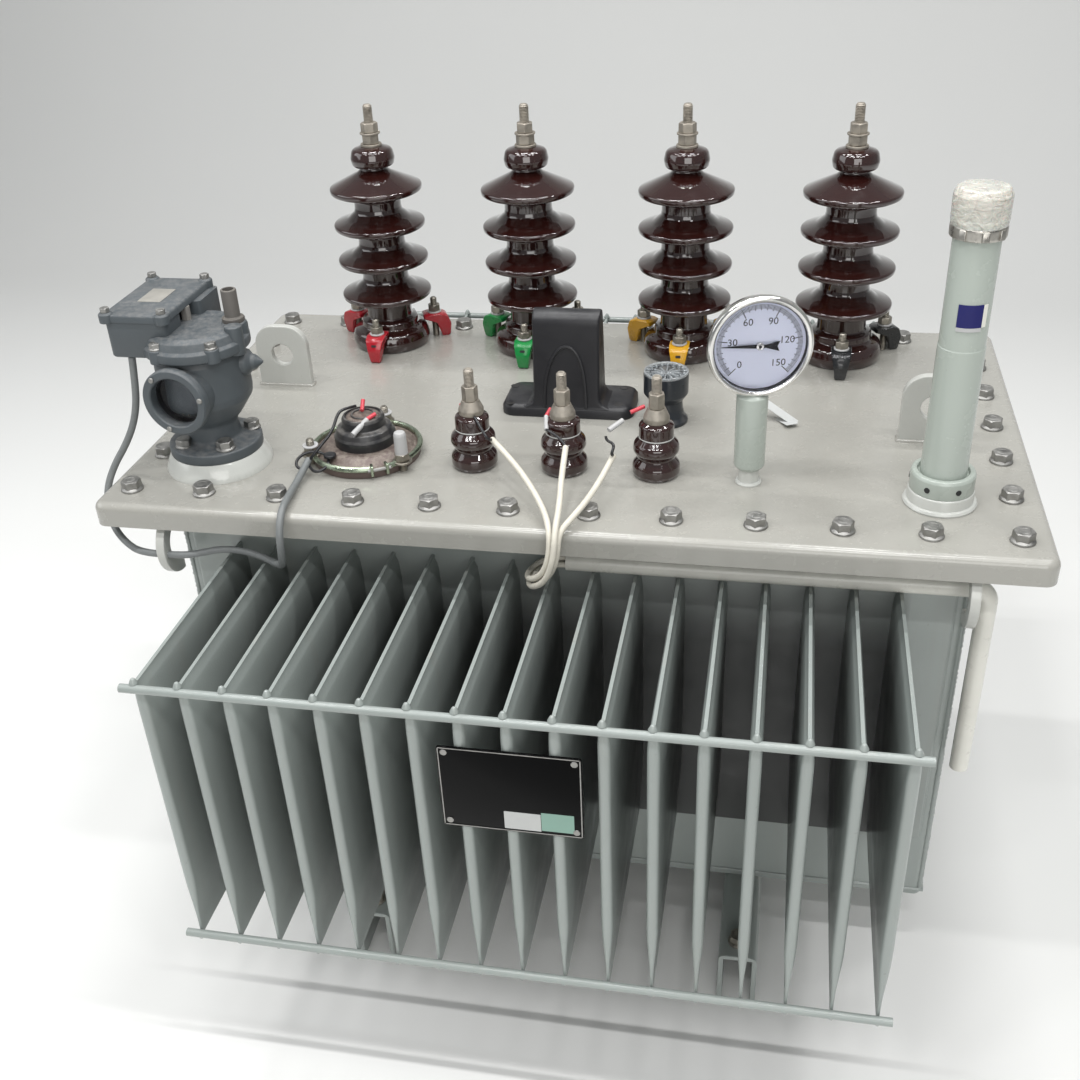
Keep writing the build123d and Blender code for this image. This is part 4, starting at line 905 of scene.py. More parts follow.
# Cables and wires, through the same points as the solids, in millimetres
CABLE_RADIUS = 4.0
WIRE_RADIUS = 3.25
RELAY_CABLE = [
    (-462, -206, 741), (-464, -208, 712), (-470, -206, 684), (-480, -205, 658), (-493, -209, 634),
    (-507, -218, 613), (-515, -230, 591), (-513, -243, 569), (-501, -258, 553), (-481, -273, 544),
    (-457, -286, 541), (-434, -286, 541),
]
DEVICE_CABLE = [
    (-284, -190, 617), (-285, -215, 611), (-284, -243, 609), (-281, -268, 611), (-279, -291, 609),
    (-278, -306, 594), (-278, -310, 573), (-281, -305, 554), (-288, -293, 541), (-301, -281, 536),
    (-320, -273, 538), (-343, -271, 543), (-366, -274, 545), (-386, -281, 543), (-405, -286, 541),
    (-424, -286, 541),
]
LV_WIRES = [
    [(-76, -169, 643), (-46, -201, 634), (-20, -236, 624), (0, -270, 615.5), (10.5, -299, 609.5),
     (10.5, -307.5, 583.5), (2.5, -305, 560.5), (-14.5, -291.5, 543.5), (-23.5, -266.5, 535),
     (-10.5, -245, 540.5), (15.5, -240.5, 543), (42, -240.5, 543)],
    [(9, -187, 647), (11, -227, 634), (15, -265, 620), (17, -304, 613.5), (16, -313.5, 583.5),
     (6, -310.5, 555.5), (-11.5, -295, 536.5), (-22.5, -267.5, 526.5), (-10, -243, 532.5),
     (16, -238, 535), (42, -238, 535)],
    [(60, -186, 639), (52, -220, 629), (41, -256, 621), (31, -280.5, 616), (19.5, -299, 607.5),
     (18.5, -306, 582), (9.5, -302.5, 557), (-9.5, -287.5, 538.5), (-15.5, -266, 535),
     (-4, -248.5, 535.5), (16.5, -246, 537), (42, -246, 537)],
]


class TRANSFORMER_OT_cables(bpy.types.Operator):
    """Lay the two control cables and the three low-voltage wires"""

    bl_idname = "transformer.cables"
    bl_label = "Cables and wires"

    def execute(self, context):
        cable = (CABLE_RADIUS, "cable", "cable_grey", "medium")
        wire = (WIRE_RADIUS, "sleeve", "wire_white", "limp")
        runs = [("relay_cable", RELAY_CABLE, *cable), ("device_cable", DEVICE_CABLE, *cable)]
        runs += [(f"lv_wire_{number}", route, *wire) for number, route in enumerate(LV_WIRES, start=1)]
        for node, route, radius, finish, slot, stiffness in runs:
            piece = lay_cord(f"{node}_run", node, route, radius, finish)
            cord_length(piece)
        return {"FINISHED"}


# Tank, webs and feet
class TRANSFORMER_OT_tank(bpy.types.Operator):
    """Paint the tank, its webs and feet, and lay the weld beads"""

    bl_idname = "transformer.tank"
    bl_label = "Tank"

    def execute(self, context):
        values = settings("tank")
        edge = values.edge / METRES
        for node in ("tank_floor", "tank_shell", "tank_flange", "foot_channel_left", "foot_channel_right"):
            dress(node, "tank", edge)
        # the webs take the fin enamel with its painted shade among the fins
        dress("fin_webs", "fins", edge)
        dress("cover_gasket", "rubber")
        dress("fin_bars", "seam")
        size = values.weld_size / METRES
        low, high = node_box("tank_shell")
        web_low, web_high = node_box("fin_webs")
        corner = 3.0
        beads = []
        for x in (low.x + corner, high.x - corner):
            for y in (low.y + corner, high.y - corner):
                beads.append(weld([(x, y, low.z), (x, y, high.z)], size * 1.5))
        beads.append(weld([(low.x, low.y, low.z), (high.x, low.y, low.z), (high.x, high.y, low.z),
                           (low.x, high.y, low.z)], size, closed=True))
        for y in (low.y, high.y):
            beads.append(weld([(web_low.x, y, web_low.z), (web_high.x, y, web_low.z),
                               (web_high.x, y, web_high.z), (web_low.x, y, web_high.z)], size, closed=True))
        make_piece("tank_welds", joined(beads), ["seam"], sharp=60)

        bolts = []
        for node in ("foot_channel_left", "foot_channel_right"):
            foot_low, foot_high = node_box(node)
            middle = (foot_low.x + foot_high.x) / 2
            for y, turn in ((foot_low.y + 24, 0), (foot_high.y - 24, 180)):
                bolts.append(flange_bolt(12.0).at(spot(middle, y, foot_high.z, turn)))
        make_piece("foot_bolts", joined(bolts), ["zinc"])
        return {"FINISHED"}


# Fins
def fin_form(values, y_web, y_nose, bottom, top):
    """One swelled fin from the web at y_web to the nose, pinched at its upper and lower seams."""
    seam, half = values.seam / METRES / 2, values.width / METRES / 2
    lower = bottom + values.bottom_seam / METRES
    taper = values.bottom_taper / METRES
    upper = top - values.top_seam / METRES
    swell = values.top_round / METRES
    levels = [(bottom, seam), (lower, seam)]
    for i in range(1, 9):
        share = i / 8
        levels.append((lower + taper * share, seam + (half - seam) * share * share * (3 - 2 * share)))
    for i in range(8, -1, -1):
        share = i / 8
        levels.append((upper - swell * share, seam + (half - seam) * (1 - (1 - share) ** 2.2) ** 0.5))
    levels.append((top, seam))
    rings = []
    for z, width in levels:
        nose = [(x, y_nose + width - y) for x, y in (polar(width, a) for a in range(0, 181, 18))]
        ring = [(width, y_web)] + nose + [(-width, y_web)]
        rings.append([(x, y, z) for x, y in ring[::-1]])
    return loft(rings)


class TRANSFORMER_OT_fins(bpy.types.Operator):
    """Build both banks of cooling fins with their ridge seams and the tack welds at the bars"""

    bl_idname = "transformer.fins"
    bl_label = "Cooling fins"

    def execute(self, context):
        values = settings("fins")
        seam_size = settings("tank").seam_size / METRES
        low, high = node_box("front_fins")
        half = values.width / METRES / 2
        first, last = low.x + half, high.x - half
        places = [first + (last - first) * i / (values.count - 1) for i in range(values.count)]
        fin = fin_form(values, high.y, low.y, low.z, high.z)
        ridge = weld([(0, high.y, high.z - seam_size), (0, low.y + 2, high.z - seam_size)], seam_size,
                     pitch=6.0)
        nose = weld([(0, low.y + 1.2, high.z - 6), (0, low.y + 1.2, high.z)], seam_size, pitch=3.0)
        bars_low, bars_high = node_box("fin_bars")
        bar = (bars_high.y - node_box("rear_fins")[1].y) / 2
        tack = turned([(0, 0), (5.2, 0, 1), (2.2, 6.0, 2), (0, 7.5)], 3, 10)
        tacks = [tack.at(spot(0, low.y - bar * 0.4, z, tip=tip))
                 for z, tip in ((bars_high.z - 0.5, 0), (bars_low.z + 0.5, 180))]
        front = joined([joined([fin, ridge, nose] + tacks).at(spot(x)) for x in places])
        # both banks take the fin enamel with its painted shade among the fins
        for name, node, turn in (("front_fin_bank", "front_fins", 0), ("rear_fin_bank", "rear_fins", 180)):
            make_piece(name, front.at(spot(turn=turn)), ["fins"], [node], sharp=50)
        return {"FINISHED"}


# Cover; width and thickness of a lifting eye's plate
EYE_PLATE = (69.0, 10.0)


class TRANSFORMER_OT_cover(bpy.types.Operator):
    """Paint the cover, its hooks and lifting eyes, and set the cover bolts"""

    bl_idname = "transformer.cover"
    bl_label = "Cover, hooks and bolts"

    def execute(self, context):
        values = settings("bolts")
        edge = settings("tank").edge / METRES
        dress("cover_plate", "cover")
        dress("tank_hooks", "hooks", edge)
        dress("cover_eyes", "hooks", edge)
        size = values.size / METRES
        low, high = node_box("cover_plate")
        flange_low = node_box("tank_flange")[0].z
        end, side = values.inset_ends / METRES, values.inset_sides / METRES
        xs = np.linspace(low.x + end, high.x - end, values.along)
        ys = np.linspace(low.y + side, high.y - side, values.across)
        places = [(x, y) for x in xs for y in (ys[0], ys[-1])]
        places += [(x, y) for x in (xs[0], xs[-1]) for y in ys[1:-1]]
        head = flange_bolt(size)
        nut = joined([hexagon(1.45 * size, -0.9 * size, 0), threaded(size / 2, -1.5 * size, 0)])
        heads, nuts = [], []
        for x, y in places:
            turn = DICE.uniform(0, 60)
            heads.append(head.at(spot(x, y, COVER_TOP, turn)))
            nuts.append(nut.at(spot(x, y, flange_low, turn)))
        make_piece("cover_bolts", joined(heads), ["dull_zinc"])
        make_piece("cover_nuts", joined(nuts), ["dull_zinc"])

        beads = []
        centre_low, centre_high = node_box("cover_eyes")
        width, thickness = EYE_PLATE
        left = (centre_low.x + width / 2, centre_high.y - thickness / 2)
        right = (centre_high.x - width / 2, centre_low.y + thickness / 2)
        for x, y in (left, right):
            path = [(*corner, COVER_TOP) for corner in rectangle(width, thickness, 0.0, x, y)]
            beads.append(weld(path, 2.6, closed=True))
        make_piece("eye_welds", joined(beads), ["cover"], sharp=60)
        return {"FINISHED"}


# High-voltage side: heights of the sheds' rims, radii of the core and of the rims, and the whole height
HV_SHEDS = (73.5, 120.2, 166.9, 213.7)
HV_CORE = 30.5
HV_RIM = 60.0
HV_TOP = 266.0


def hv_outline():
    """Rounded outline of the tall insulator: base, four sheds, neck and head."""
    core, rim = HV_CORE, HV_RIM
    corners = [(0, 0), (50, 0, 3), (53, 11, 12), (50, 23.5, 8), (42, 26, 3), (38.5, 28, 3), (38, 37, 4),
               (core, 40, 3)]
    for z in HV_SHEDS:
        corners += [(core, z - 12.5, 5), (rim - 10, z - 6.5, 5), (rim - 0.5, z - 5, 3.5), (rim, z + 2, 3)]
        if z != HV_SHEDS[-1]:
            corners += [(core + 11, z + 8, 14), (core + 1, z + 16.5, 6), (core, z + 22, 4)]
    corners += [(22, HV_SHEDS[-1] + 20, 14), (17.5, HV_SHEDS[-1] + 24, 4), (17.5, 240.5, 2), (26.5, 242, 4),
                (28.5, 251, 9), (26, 262.5, 7), (15, HV_TOP, 3), (0, HV_TOP)]
    return softened(corners, 5)


class TRANSFORMER_OT_hv_bushings(bpy.types.Operator):
    """Turn the four tall porcelain insulators and fit their studs and nuts"""

    bl_idname = "transformer.hv_bushings"
    bl_label = "High-voltage bushings"

    def execute(self, context):
        outline = hv_outline()
        studs = []
        top = HV_TOP
        for number in range(1, 5):
            node = f"hv_bushing_{number}"
            make_piece(f"hv_porcelain_{number}", lathe(outline, 96).at(standing(node)), ["glaze"],
                       [node], sharp=60)
            stud = joined([washer(6, 13.5, top, top + 3), hexagon(20, top + 3, top + 15),
                           hexagon(19, top + 17, top + 29).at(spot(turn=20 + 9 * number)),
                           washer(6, 13, top + 15, top + 17), threaded(6.0, top + 2, top + 51, 1.75)])
            studs.append(stud.at(standing(node, 17.0 * number)))
        make_piece("hv_studs", joined(studs), ["beige_metal"], ["hv_terminals"])
        return {"FINISHED"}


# Clamps: directions round a bushing, the stud's distance from its axis and the heights of claw and stud
CLAMP_TURNS = (-90.0, 25.0, 155.0)
CLAMP_COLOURS = ("red", "green", "yellow", "black")
CLAMP_STUD_REACH = 61.5
CLAMP_CROWN = 34.5
CLAMP_STUD_TOP = 55.5


def clamp_claw():
    """Enamelled claw on the +X side of a bushing: short arm on the shoulder, leg tapering to a toe."""
    outline = softened([(45, 28, 1), (51.5, 25.5, 2), (56.5, 23, 3), (63, 20, 5), (70, 0, 2), (81, 0, 4),
                        (83, 18, 12), (78, 31, 7), (67, CLAMP_CROWN, 5), (52, CLAMP_CROWN, 3),
                        (45.5, 33, 2)], 4, closed=True)
    rings = []
    for side in (-1.0, -0.86, 0.86, 1.0):
        inset = 1.0 if abs(side) == 1.0 else 0.0
        rings.append([(x, side, z) for x, z in (drawn_in(outline, inset) if inset else outline)])
    form = loft(rings)
    heights = form.points[:, 2]
    flare = np.clip((heights - 17.0) / (CLAMP_CROWN - 17.0), 0, 1) ** 1.6
    form.points[:, 1] *= 6.4 + 2.8 * np.clip(heights / 20.0, 0, 1) + 3.8 * flare
    form.faces = [face[::-1] for face in form.faces]
    # painted shade: a near-black plate on the toe stands in for the slot's depth
    slot = slab(rectangle(6.5, 3.0, 1.2), -1.0, 0.5, 0, 2).at(facing((80.7, 0, 24.5), (1, 0, 0.35)))
    return joined([form, slot])


class TRANSFORMER_OT_hv_clamps(bpy.types.Operator):
    """Fit three enamelled claws with bolt and nut round each tall bushing"""

    bl_idname = "transformer.hv_clamps"
    bl_label = "Bushing clamps"

    def execute(self, context):
        claw = clamp_claw()
        crown = CLAMP_CROWN
        nut = joined([washer(4.6, 9.5, crown, crown + 2, 3), hexagon(15, crown + 2, crown + 11, 1),
                      threaded(4.5, 0, CLAMP_STUD_TOP, 1.4, 1)])
        for number, colour in enumerate(CLAMP_COLOURS, start=1):
            claws = []
            for angle in CLAMP_TURNS:
                bolt = nut.at(spot(CLAMP_STUD_REACH, 0, 0, DICE.uniform(0, 60)))
                claws.append(joined([claw, bolt]).at(standing(f"hv_bushing_{number}", angle)))
            make_piece(f"hv_claws_{number}", joined(claws), [colour, "zinc", "dark", "white_cap"],
                       [f"hv_clamps_{number}"], sharp=40)
        return {"FINISHED"}


# Low-voltage side; each short lead has a route, a radius and the number of its finish
LV_LEADS = (
    ([(60, -186, 640), (59, -200, 646), (62, -186, 653), (52, -186, 657), (52, -184, 661)], 1.6, 0),
    ([(54, -176, 664), (67, -161, 669)], 2.9, 2),
    ([(74, -149, 673), (88, -141, 677)], 2.4, 1),
    ([(9, -187, 647), (5, -182, 652), (-8, -172, 656), (-15, -168, 657)], 1.6, 0),
    ([(-15, -168, 657), (-18, -151, 665)], 2.6, 2), ([(-18, -151, 665), (-14, -144, 671)], 2.4, 1),
    ([(-76, -169, 643), (-76, -184, 648), (-86, -174, 658), (-95, -164, 666)], 1.6, 0),
    ([(-113, -151, 675), (-104, -160, 671)], 2.4, 1),
)


class TRANSFORMER_OT_lv_bushings(bpy.types.Operator):
    """Turn the three small insulators with their painted ring, studs and nuts"""

    bl_idname = "transformer.lv_bushings"
    bl_label = "Low-voltage bushings"

    def execute(self, context):
        outline = softened([(0, 0), (24, 0, 2), (26, 5, 3), (26, 14, 8), (19.5, 22, 3), (25.6, 30, 8),
                            (24.5, 38, 8), (19, 44, 2), (19, 60, 4), (14, 63, 2), (0, 63)], 6)
        ring = lathe([(19.1, 45.2), (19.3, 45.6), (19.3, 46.2), (19.1, 46.6)], 48, 1)
        studs = []
        for number in range(1, 4):
            node = f"lv_bushing_{number}"
            form = joined([lathe(outline, 72), ring])
            make_piece(f"lv_porcelain_{number}", form.at(standing(node)), ["glaze", "paper"],
                       [node], sharp=60)
            cone = turned([(0, 63), (14, 63, 1), (14, 69, 2), (9.5, 79), (0, 79)], 3, 40)
            stud = joined([cone, hexagon(15.5, 79, 96).at(spot(turn=25 * number)),
                           threaded(5.5, 79, 115.5, 1.6)])
            studs.append(stud.at(standing(node, 20.0 * number)))
        make_piece("lv_studs", joined(studs), ["beige_metal"], ["lv_terminals"])
        leads = [tube(smooth(route), radius, 8, finish) for route, radius, finish in LV_LEADS]
        make_piece("lv_leads", joined(leads), ["black_wire", "red_wire", "white_cap"], sharp=60)
        return {"FINISHED"}


# Relay; heights are above the foot of its stub, the box is given by its middle, width and length, and each
# foot bolt by its place and size
RELAY_BOX = (-49.0, 22.0, 70.0, 117.0)
RELAY_BOX_LOW = 140.0
RELAY_LID_LOW = 181.0
RELAY_LID_HIGH = 189.0
RELAY_SIGHT = facing((0, 0, 103.0), (*polar(1, -95.0), 0))
RELAY_SCREEN_DEPTH = 46.0
RELAY_PIPE_PLACE = (41.0, 12.5)
RELAY_RING_RADIUS = 52
RELAY_RING_TURNS = (-118.0, -48.0, 47.0, 112.0)
RELAY_FOOT_BOLTS = ((-25.0, -29.0, 9.5), (25.0, -30.0, 10.5), (34.0, 25.0, 9.5), (-28.0, 27.0, 9.0))


def relay_head_form():
    """Terminal box with its recessed, ribbed right side, the ring flange and the lug of the pipe."""
    x, y, width, length = RELAY_BOX
    low, high = RELAY_BOX_LOW, RELAY_LID_LOW
    right, front, back = x + width / 2, y - length / 2, y + length / 2
    box = slab(rectangle(width - 9, length - 6, 4, x - 4, y), low + 1, high, 0, 0, 2.0)
    nose = slab(rectangle(width, 40, 6, x, front + 20), low, high, 0, 0, 2.5)
    tail = slab(rectangle(width + 10, 50, 4, x + 5, back - 25), low, high, 0, 0, 2.0)
    rib = slab(rectangle(10, 8, 3, right - 1, front + 52), low + 6, high, 0, 2)
    # painted shade: a near-black strip stands in the recess of the right side
    recess_shade = slab(rectangle(3, 30, 1, right - 8.4, front + 54), low + 3, high - 2, 0, 1)
    ring = turned([(0, 141), (55, 141, 1), (57.5, 143, 1), (57.5, 152, 2), (54, 155, 2), (51, 163, 3),
                   (44, 166, 2), (0, 166)], 3, 72)
    pipe_x, pipe_y = RELAY_PIPE_PLACE
    lug = turned([(0, 150), (14, 150), (14, 167, 2), (0, 168)], 3, 32).at(spot(pipe_x, pipe_y))
    low_lug = turned([(0, 138), (9.5, 138, 1), (9.5, 170, 2), (0, 171)], 3, 24).at(spot(49, -8))
    boss = turned([(0, 141), (8.5, 141), (8.5, 156, 2), (0, 156.5)], 3, 24)
    bosses = [boss.at(spot(*polar(RELAY_RING_RADIUS, a))) for a in RELAY_RING_TURNS]
    return joined([box, nose, tail, rib, recess_shade, ring, lug, low_lug] + bosses)


def relay_lid_form():
    """Lid with ears at its corners, their screws and the small label."""
    x, y, width, length = RELAY_BOX
    low, high = RELAY_LID_LOW, RELAY_LID_HIGH
    forms = [slab(rectangle(width + 4, length + 3, 5, x, y), low, high, 2.0)]
    for dx in (-1, 1):
        for dy in (-1, 1):
            at = spot(x + dx * (width / 2 - 3), y + dy * (length / 2 - 3), 0, DICE.uniform(0, 60))
            forms.append(turned([(0, low - 1), (8, low - 1, 0.6), (8, high, 1.5), (6, high + 2, 1),
                                 (0, high + 2)], 3, 24).at(at))
            forms.append(hexagon(9, high + 1.5, high + 7, 1).at(at))
    forms.append(slab(rectangle(27, 40, 1, x - 1, y + 2), high, high + 0.6, 0.2, 2))
    return joined(forms)


def relay_body_form():
    """Cast housing: bolted flange, neck, tapering bowl and barrel, with the sight-glass boss."""
    body = turned([(0, 20), (52, 20, 1.5), (52, 32, 2.5), (40, 33, 3), (30, 36, 5), (28, 55, 8),
                   (36, 64, 4), (50, 84, 8), (51, 92, 4), (50, 133, 3), (47, 141, 2), (0, 141)], 4, 72)
    boss = turned([(0, 20), (33.5, 20), (33.5, 56), (28, 56), (27.7, 45), (0, 45)], 2, 56).at(RELAY_SIGHT)
    knob = turned([(0, 40), (17, 40), (14, 54, 3), (9, 58, 2), (8, 62, 1), (1.5, 70), (0, 70)], 3, 28)
    return joined([body, boss, knob.at(facing((0, 0, 123), (1, 0.1, 0)))])


class TRANSFORMER_OT_relay(bpy.types.Operator):
    """Build the relay: stub, cast body, head, lid, sight glass, test pipe and screws"""

    bl_idname = "transformer.relay"
    bl_label = "Relay"

    def execute(self, context):
        place = standing("relay_stub")
        dress("relay_stub", "stub", 1.0)
        make_piece("relay_casting", relay_body_form().at(place), ["relay"], ["relay_body"],
                   sharp=38)
        make_piece("relay_ring_head", relay_head_form().at(place), ["relay", "dark", "relay_rubbed"],
                   ["relay_head"], sharp=38)
        make_piece("relay_cover_lid", relay_lid_form().at(place), ["relay", "dull_zinc", "label"],
                   ["relay_lid"], sharp=38)

        sight = place @ RELAY_SIGHT
        ring = turned([(27.6, 53), (36.5, 56, 1), (37.5, 58, 1), (37.5, 65, 1.5), (36, 67, 1), (29, 67, 1),
                       (27.6, 65.5, 1)], 3, 72, 0, closed=True)
        screws = []
        for angle in (10, 130, 250):
            at = spot(*polar(32.8, angle), 66)
            screws.append(turned([(0, 0), (3.2, 0), (3.0, 2.6, 1), (0, 2.8)], 3, 16, 1).at(at))
        make_piece("relay_sight_frame", joined([ring] + screws).at(sight), ["relay", "dull_zinc"],
                   ["relay_sight_ring"], sharp=38)
        back = RELAY_SCREEN_DEPTH
        hub = cylinder(27.4, back, back + 0.5, 40)
        rungs = [slab(rectangle(8, 1.2, 0.3, side * 9, 4.6 * k), back + 0.4, back + 1.4, 0.1, 0)
                 for k in range(-4, 5) for side in (-1, 1)]
        strips = [slab(rectangle(1.4, 46, 0.3, x, 0), back + 0.4, back + 3.0, 0.1, 1)
                  for x in (-3.5, 3.5, 17.0)]
        make_piece("relay_sight_screen", joined([hub] + rungs + strips).at(sight), ["tray", "relay_rubbed"])
        # painted shade: a near-black sleeve just inside the sight glass bore
        shade_sleeve = lathe([(27.5, back), (27.5, 53.8), (26.9, 53.8), (26.9, back)], 48)
        make_piece("relay_sight_wall", shade_sleeve.at(sight), ["dark"])
        pane = cylinder(27.4, 54.0, 56, 48)
        make_piece("relay_sight_pane", pane.at(sight), ["glass"], ["relay_sight_glass"])

        pipe_x, pipe_y = RELAY_PIPE_PLACE
        pipe = turned([(0, 166), (12, 166, 1), (12, 172, 1), (8.5, 173, 1), (8.5, 203, 1.5), (6, 203),
                       (6, 196), (0, 196)], 3, 32).at(spot(pipe_x, pipe_y))
        bolts = [flange_bolt(7.0).at(spot(*polar(RELAY_RING_RADIUS, a), 156, a)) for a in RELAY_RING_TURNS]
        feet = [flange_bolt(size).at(spot(x, y, 32.5, 7 * x)) for x, y, size in RELAY_FOOT_BOLTS]
        make_piece("relay_test_pipe", pipe.at(place), ["pipe_metal"], ["relay_valve"])
        make_piece("relay_bolts", joined(bolts + feet).at(place), ["dull_zinc"])
        return {"FINISHED"}


# Pressure release device; each stud has its direction, its distance from the axis and whether it is capped
DEVICE_RIM = 61.5
DEVICE_STUDS = ((-33.0, 63.0, True), (-153.0, 63.0, False), (87.0, 63.0, False))
DEVICE_BLACK_LEAD = [(-284, -190, 615), (-277, -193, 624), (-268, -182, 634), (-259, -170, 644),
                     (-259, -147, 656), (-252, -142, 659), (-244, -128, 656)]
DEVICE_LOOP_LEAD = [(-284, -192, 613), (-276, -205, 611), (-266, -206, 611), (-259, -196, 614),
                    (-262, -184, 619), (-276, -178, 622), (-290, -183, 622), (-299, -192, 616),
                    (-294, -201, 610), (-284, -198, 609)]
DEVICE_WHITE_TAG = [(-234, -174, 643), (-222, -155, 653)]
DEVICE_RED_ENDS = ([(-223, -156, 653), (-215, -146, 656)], [(-233, -139, 656), (-235, -126, 663)])


class TRANSFORMER_OT_release_device(bpy.types.Operator):
    """Build the round release device with its band, hub, studs and stray leads"""

    bl_idname = "transformer.release_device"
    bl_label = "Pressure release device"

    def execute(self, context):
        place = standing("device_flange")
        rim = DEVICE_RIM
        base = turned([(0, 0), (rim, 0, 1), (rim, 9, 1.5), (rim - 7, 10.5, 1), (46, 17, 3), (42, 18, 2),
                       (0, 18)], 4, 84)
        make_piece("device_base", base.at(place), ["device"], ["device_flange"])
        band = [tube(ring_path(rim, 11.5, 90, -52, 343), 3.2, 8)]
        ear = slab(rectangle(9, 3.2, 0.8), 5, 17, 0.6)
        ears = [ear.at(spot(*polar(rim + 2, a), 0, a)) for a in (-52, -67)]
        bolt = tube([(*polar(rim + 4, a), 11) for a in (-48, -71)], 2.0, 8, 1)
        make_piece("device_band", joined(band + ears + [bolt]).at(place), ["band", "dull_zinc"],
                   ["device_clamp_ring"])
        hub = turned([(0, 17), (35, 17, 1), (35, 28, 3), (33, 31, 1), (31, 36.5, 3), (26, 37.7, 2),
                      (24.5, 39, 1), (24.5, 47, 2), (22.5, 50.5, 1), (20.5, 50.5), (20, 48.5, 1),
                      (0, 48.5)], 4, 72)
        top = turned([(0, 48.2), (19.5, 48.2), (17, 50.2, 2), (0, 51)], 3, 48, 1)
        cap_ring = tube(ring_path(12.5, 50.8, 40), 1.3, 8, 0, closed=True)
        make_piece("device_rubber_hub", joined([hub, top, cap_ring]).at(place), ["rubber", "device"],
                   ["device_hub"])
        fittings = []
        for angle, radius, capped in DEVICE_STUDS:
            at = spot(*polar(radius, angle), 0, angle)
            fittings.append(washer(4.6, 11, 11, 13.5).at(at))
            fittings.append(hexagon(15, 13.5, 22).at(at))
            fittings.append(threaded(4.5, 0, 44 if capped else 31, 1.4).at(at))
            if capped:
                cap = turned([(0, 20), (7.4, 20, 1), (7.0, 44, 3), (6, 47.5, 2), (0, 49)], 4, 28, 1)
                fittings.append(cap.at(at))
            else:
                fittings.append(washer(4.6, 9, 22, 23.5, 1).at(at))
        make_piece("device_fittings", joined(fittings).at(place), ["zinc", "white_cap"])
        leads = [tube(smooth(DEVICE_BLACK_LEAD), 1.7, 8), tube(smooth(DEVICE_LOOP_LEAD), 1.7, 8),
                 tube(DEVICE_WHITE_TAG, 3.2, 10, 1)]
        leads += [tube(ends, 2.4, 10, 2) for ends in DEVICE_RED_ENDS]
        lug = turned([(0, 0), (7, 0), (7, 3, 1), (0, 3)], 3, 24).at(spot(-260, -185, 620))
        make_piece("device_leads", joined(leads + [lug]), ["black_wire", "white_cap", "red_wire"],
                   sharp=60)
        return {"FINISHED"}


# Terminal hood; places of the holes in its base
HOOD_HOLES = ((42, 38), (42, -10), (-93, 31), (-89, -18))


class TRANSFORMER_OT_hood(bpy.types.Operator):
    """Mould the terminal hood: base with four near-black discs of painted shade for its holes, upright body,
    scoop and raised arch
    """

    bl_idname = "transformer.hood"
    bl_label = "Terminal hood"

    def execute(self, context):
        low, high = node_box("terminal_hood")
        centre = node_centre("terminal_hood")
        width, depth = high.x - low.x, high.y - low.y
        base = slab(rectangle(width, depth, 16), 0, 14, 5.0)
        body_x, body_width, top, round_top = 0.5, 80.0, 127.0, 12.0
        levels = []
        for i in range(0, 33):
            share = i / 32
            z = 12 + (top - 12) * share
            front = -depth / 2 + 1.0 + 12 * share
            back = 19 - 12 * share
            flare = 14 - (14 ** 2 - max(0.0, 14 - (z - 12)) ** 2) ** 0.5
            if z > top - round_top:
                inset = round_top - (round_top ** 2 - (z - top + round_top) ** 2) ** 0.5
                front, back = front + inset, back - inset
            outline = rectangle(body_width + 2 * flare, back - front, 4, body_x, (front + back) / 2, 4)
            levels.append([(x, y, z) for x, y in outline])
        body = loft(levels)
        arch = []
        for i in range(33):
            angle = pi * i / 32
            x = body_x + 3 - (25 + 4 * cos(angle)) * cos(angle)
            z = 14 + 74 * sin(angle) ** 0.85 * (1 + 0.06 * cos(angle))
            arch.append((x, -depth / 2 + 0.6 + 12 * (z - 12) / (top - 12), z))
        rib = tube(arch, 2.0, 8)
        # painted shade: thin near-black discs stand in for the holes
        hole = cylinder(5.4, 14.1, 14.3, 24, 1)
        holes = [hole.at(spot(x - centre.x, y - centre.y)) for x, y in HOOD_HOLES]
        make_piece("hood_moulding", joined([base, body, rib] + holes).at(standing("terminal_hood")),
                   ["hood", "dark"], ["terminal_hood"], sharp=40)
        return {"FINISHED"}


# Tap changer
class TRANSFORMER_OT_tap_changer(bpy.types.Operator):
    """Turn the flared foot, the barrel and the toothed clear rim of the tap changer"""

    bl_idname = "transformer.tap_changer"
    bl_label = "Tap changer"

    def execute(self, context):
        place = standing("tap_base")
        foot = turned([(0, 0), (26, 0, 1), (26, 4, 2), (22, 9, 5), (20, 18, 5), (19.5, 28), (0, 28)], 4, 56)
        make_piece("tap_foot", foot.at(place), ["tap"], ["tap_base"])
        barrel = turned([(0, 27.5), (19.5, 27.5, 2), (26.2, 37, 3), (26.4, 61, 1), (25, 62, 0.5),
                         (24, 59, 1), (0, 57)], 4, 56)
        tooth = slab(rectangle(2.2, 4.2, 0.6), 57, 63.5, 0.6, 1)
        teeth = [tooth.at(spot(turn=20 * i) @ spot(0, 21.5)) for i in range(18)]
        rim = turned([(23.4, 60), (26, 60, 0.4), (26, 64, 0.8), (23.8, 64, 0.8)], 3, 56, 1, closed=True)
        spider = [slab(rectangle(1.8, 36, 0.5), 57, 61.5, 0.5, 1).at(spot(turn=30 * i)) for i in range(6)]
        make_piece("tap_barrel", joined([barrel, rim] + teeth + spider).at(place), ["tap", "rim"],
                   ["tap_cap"])
        return {"FINISHED"}


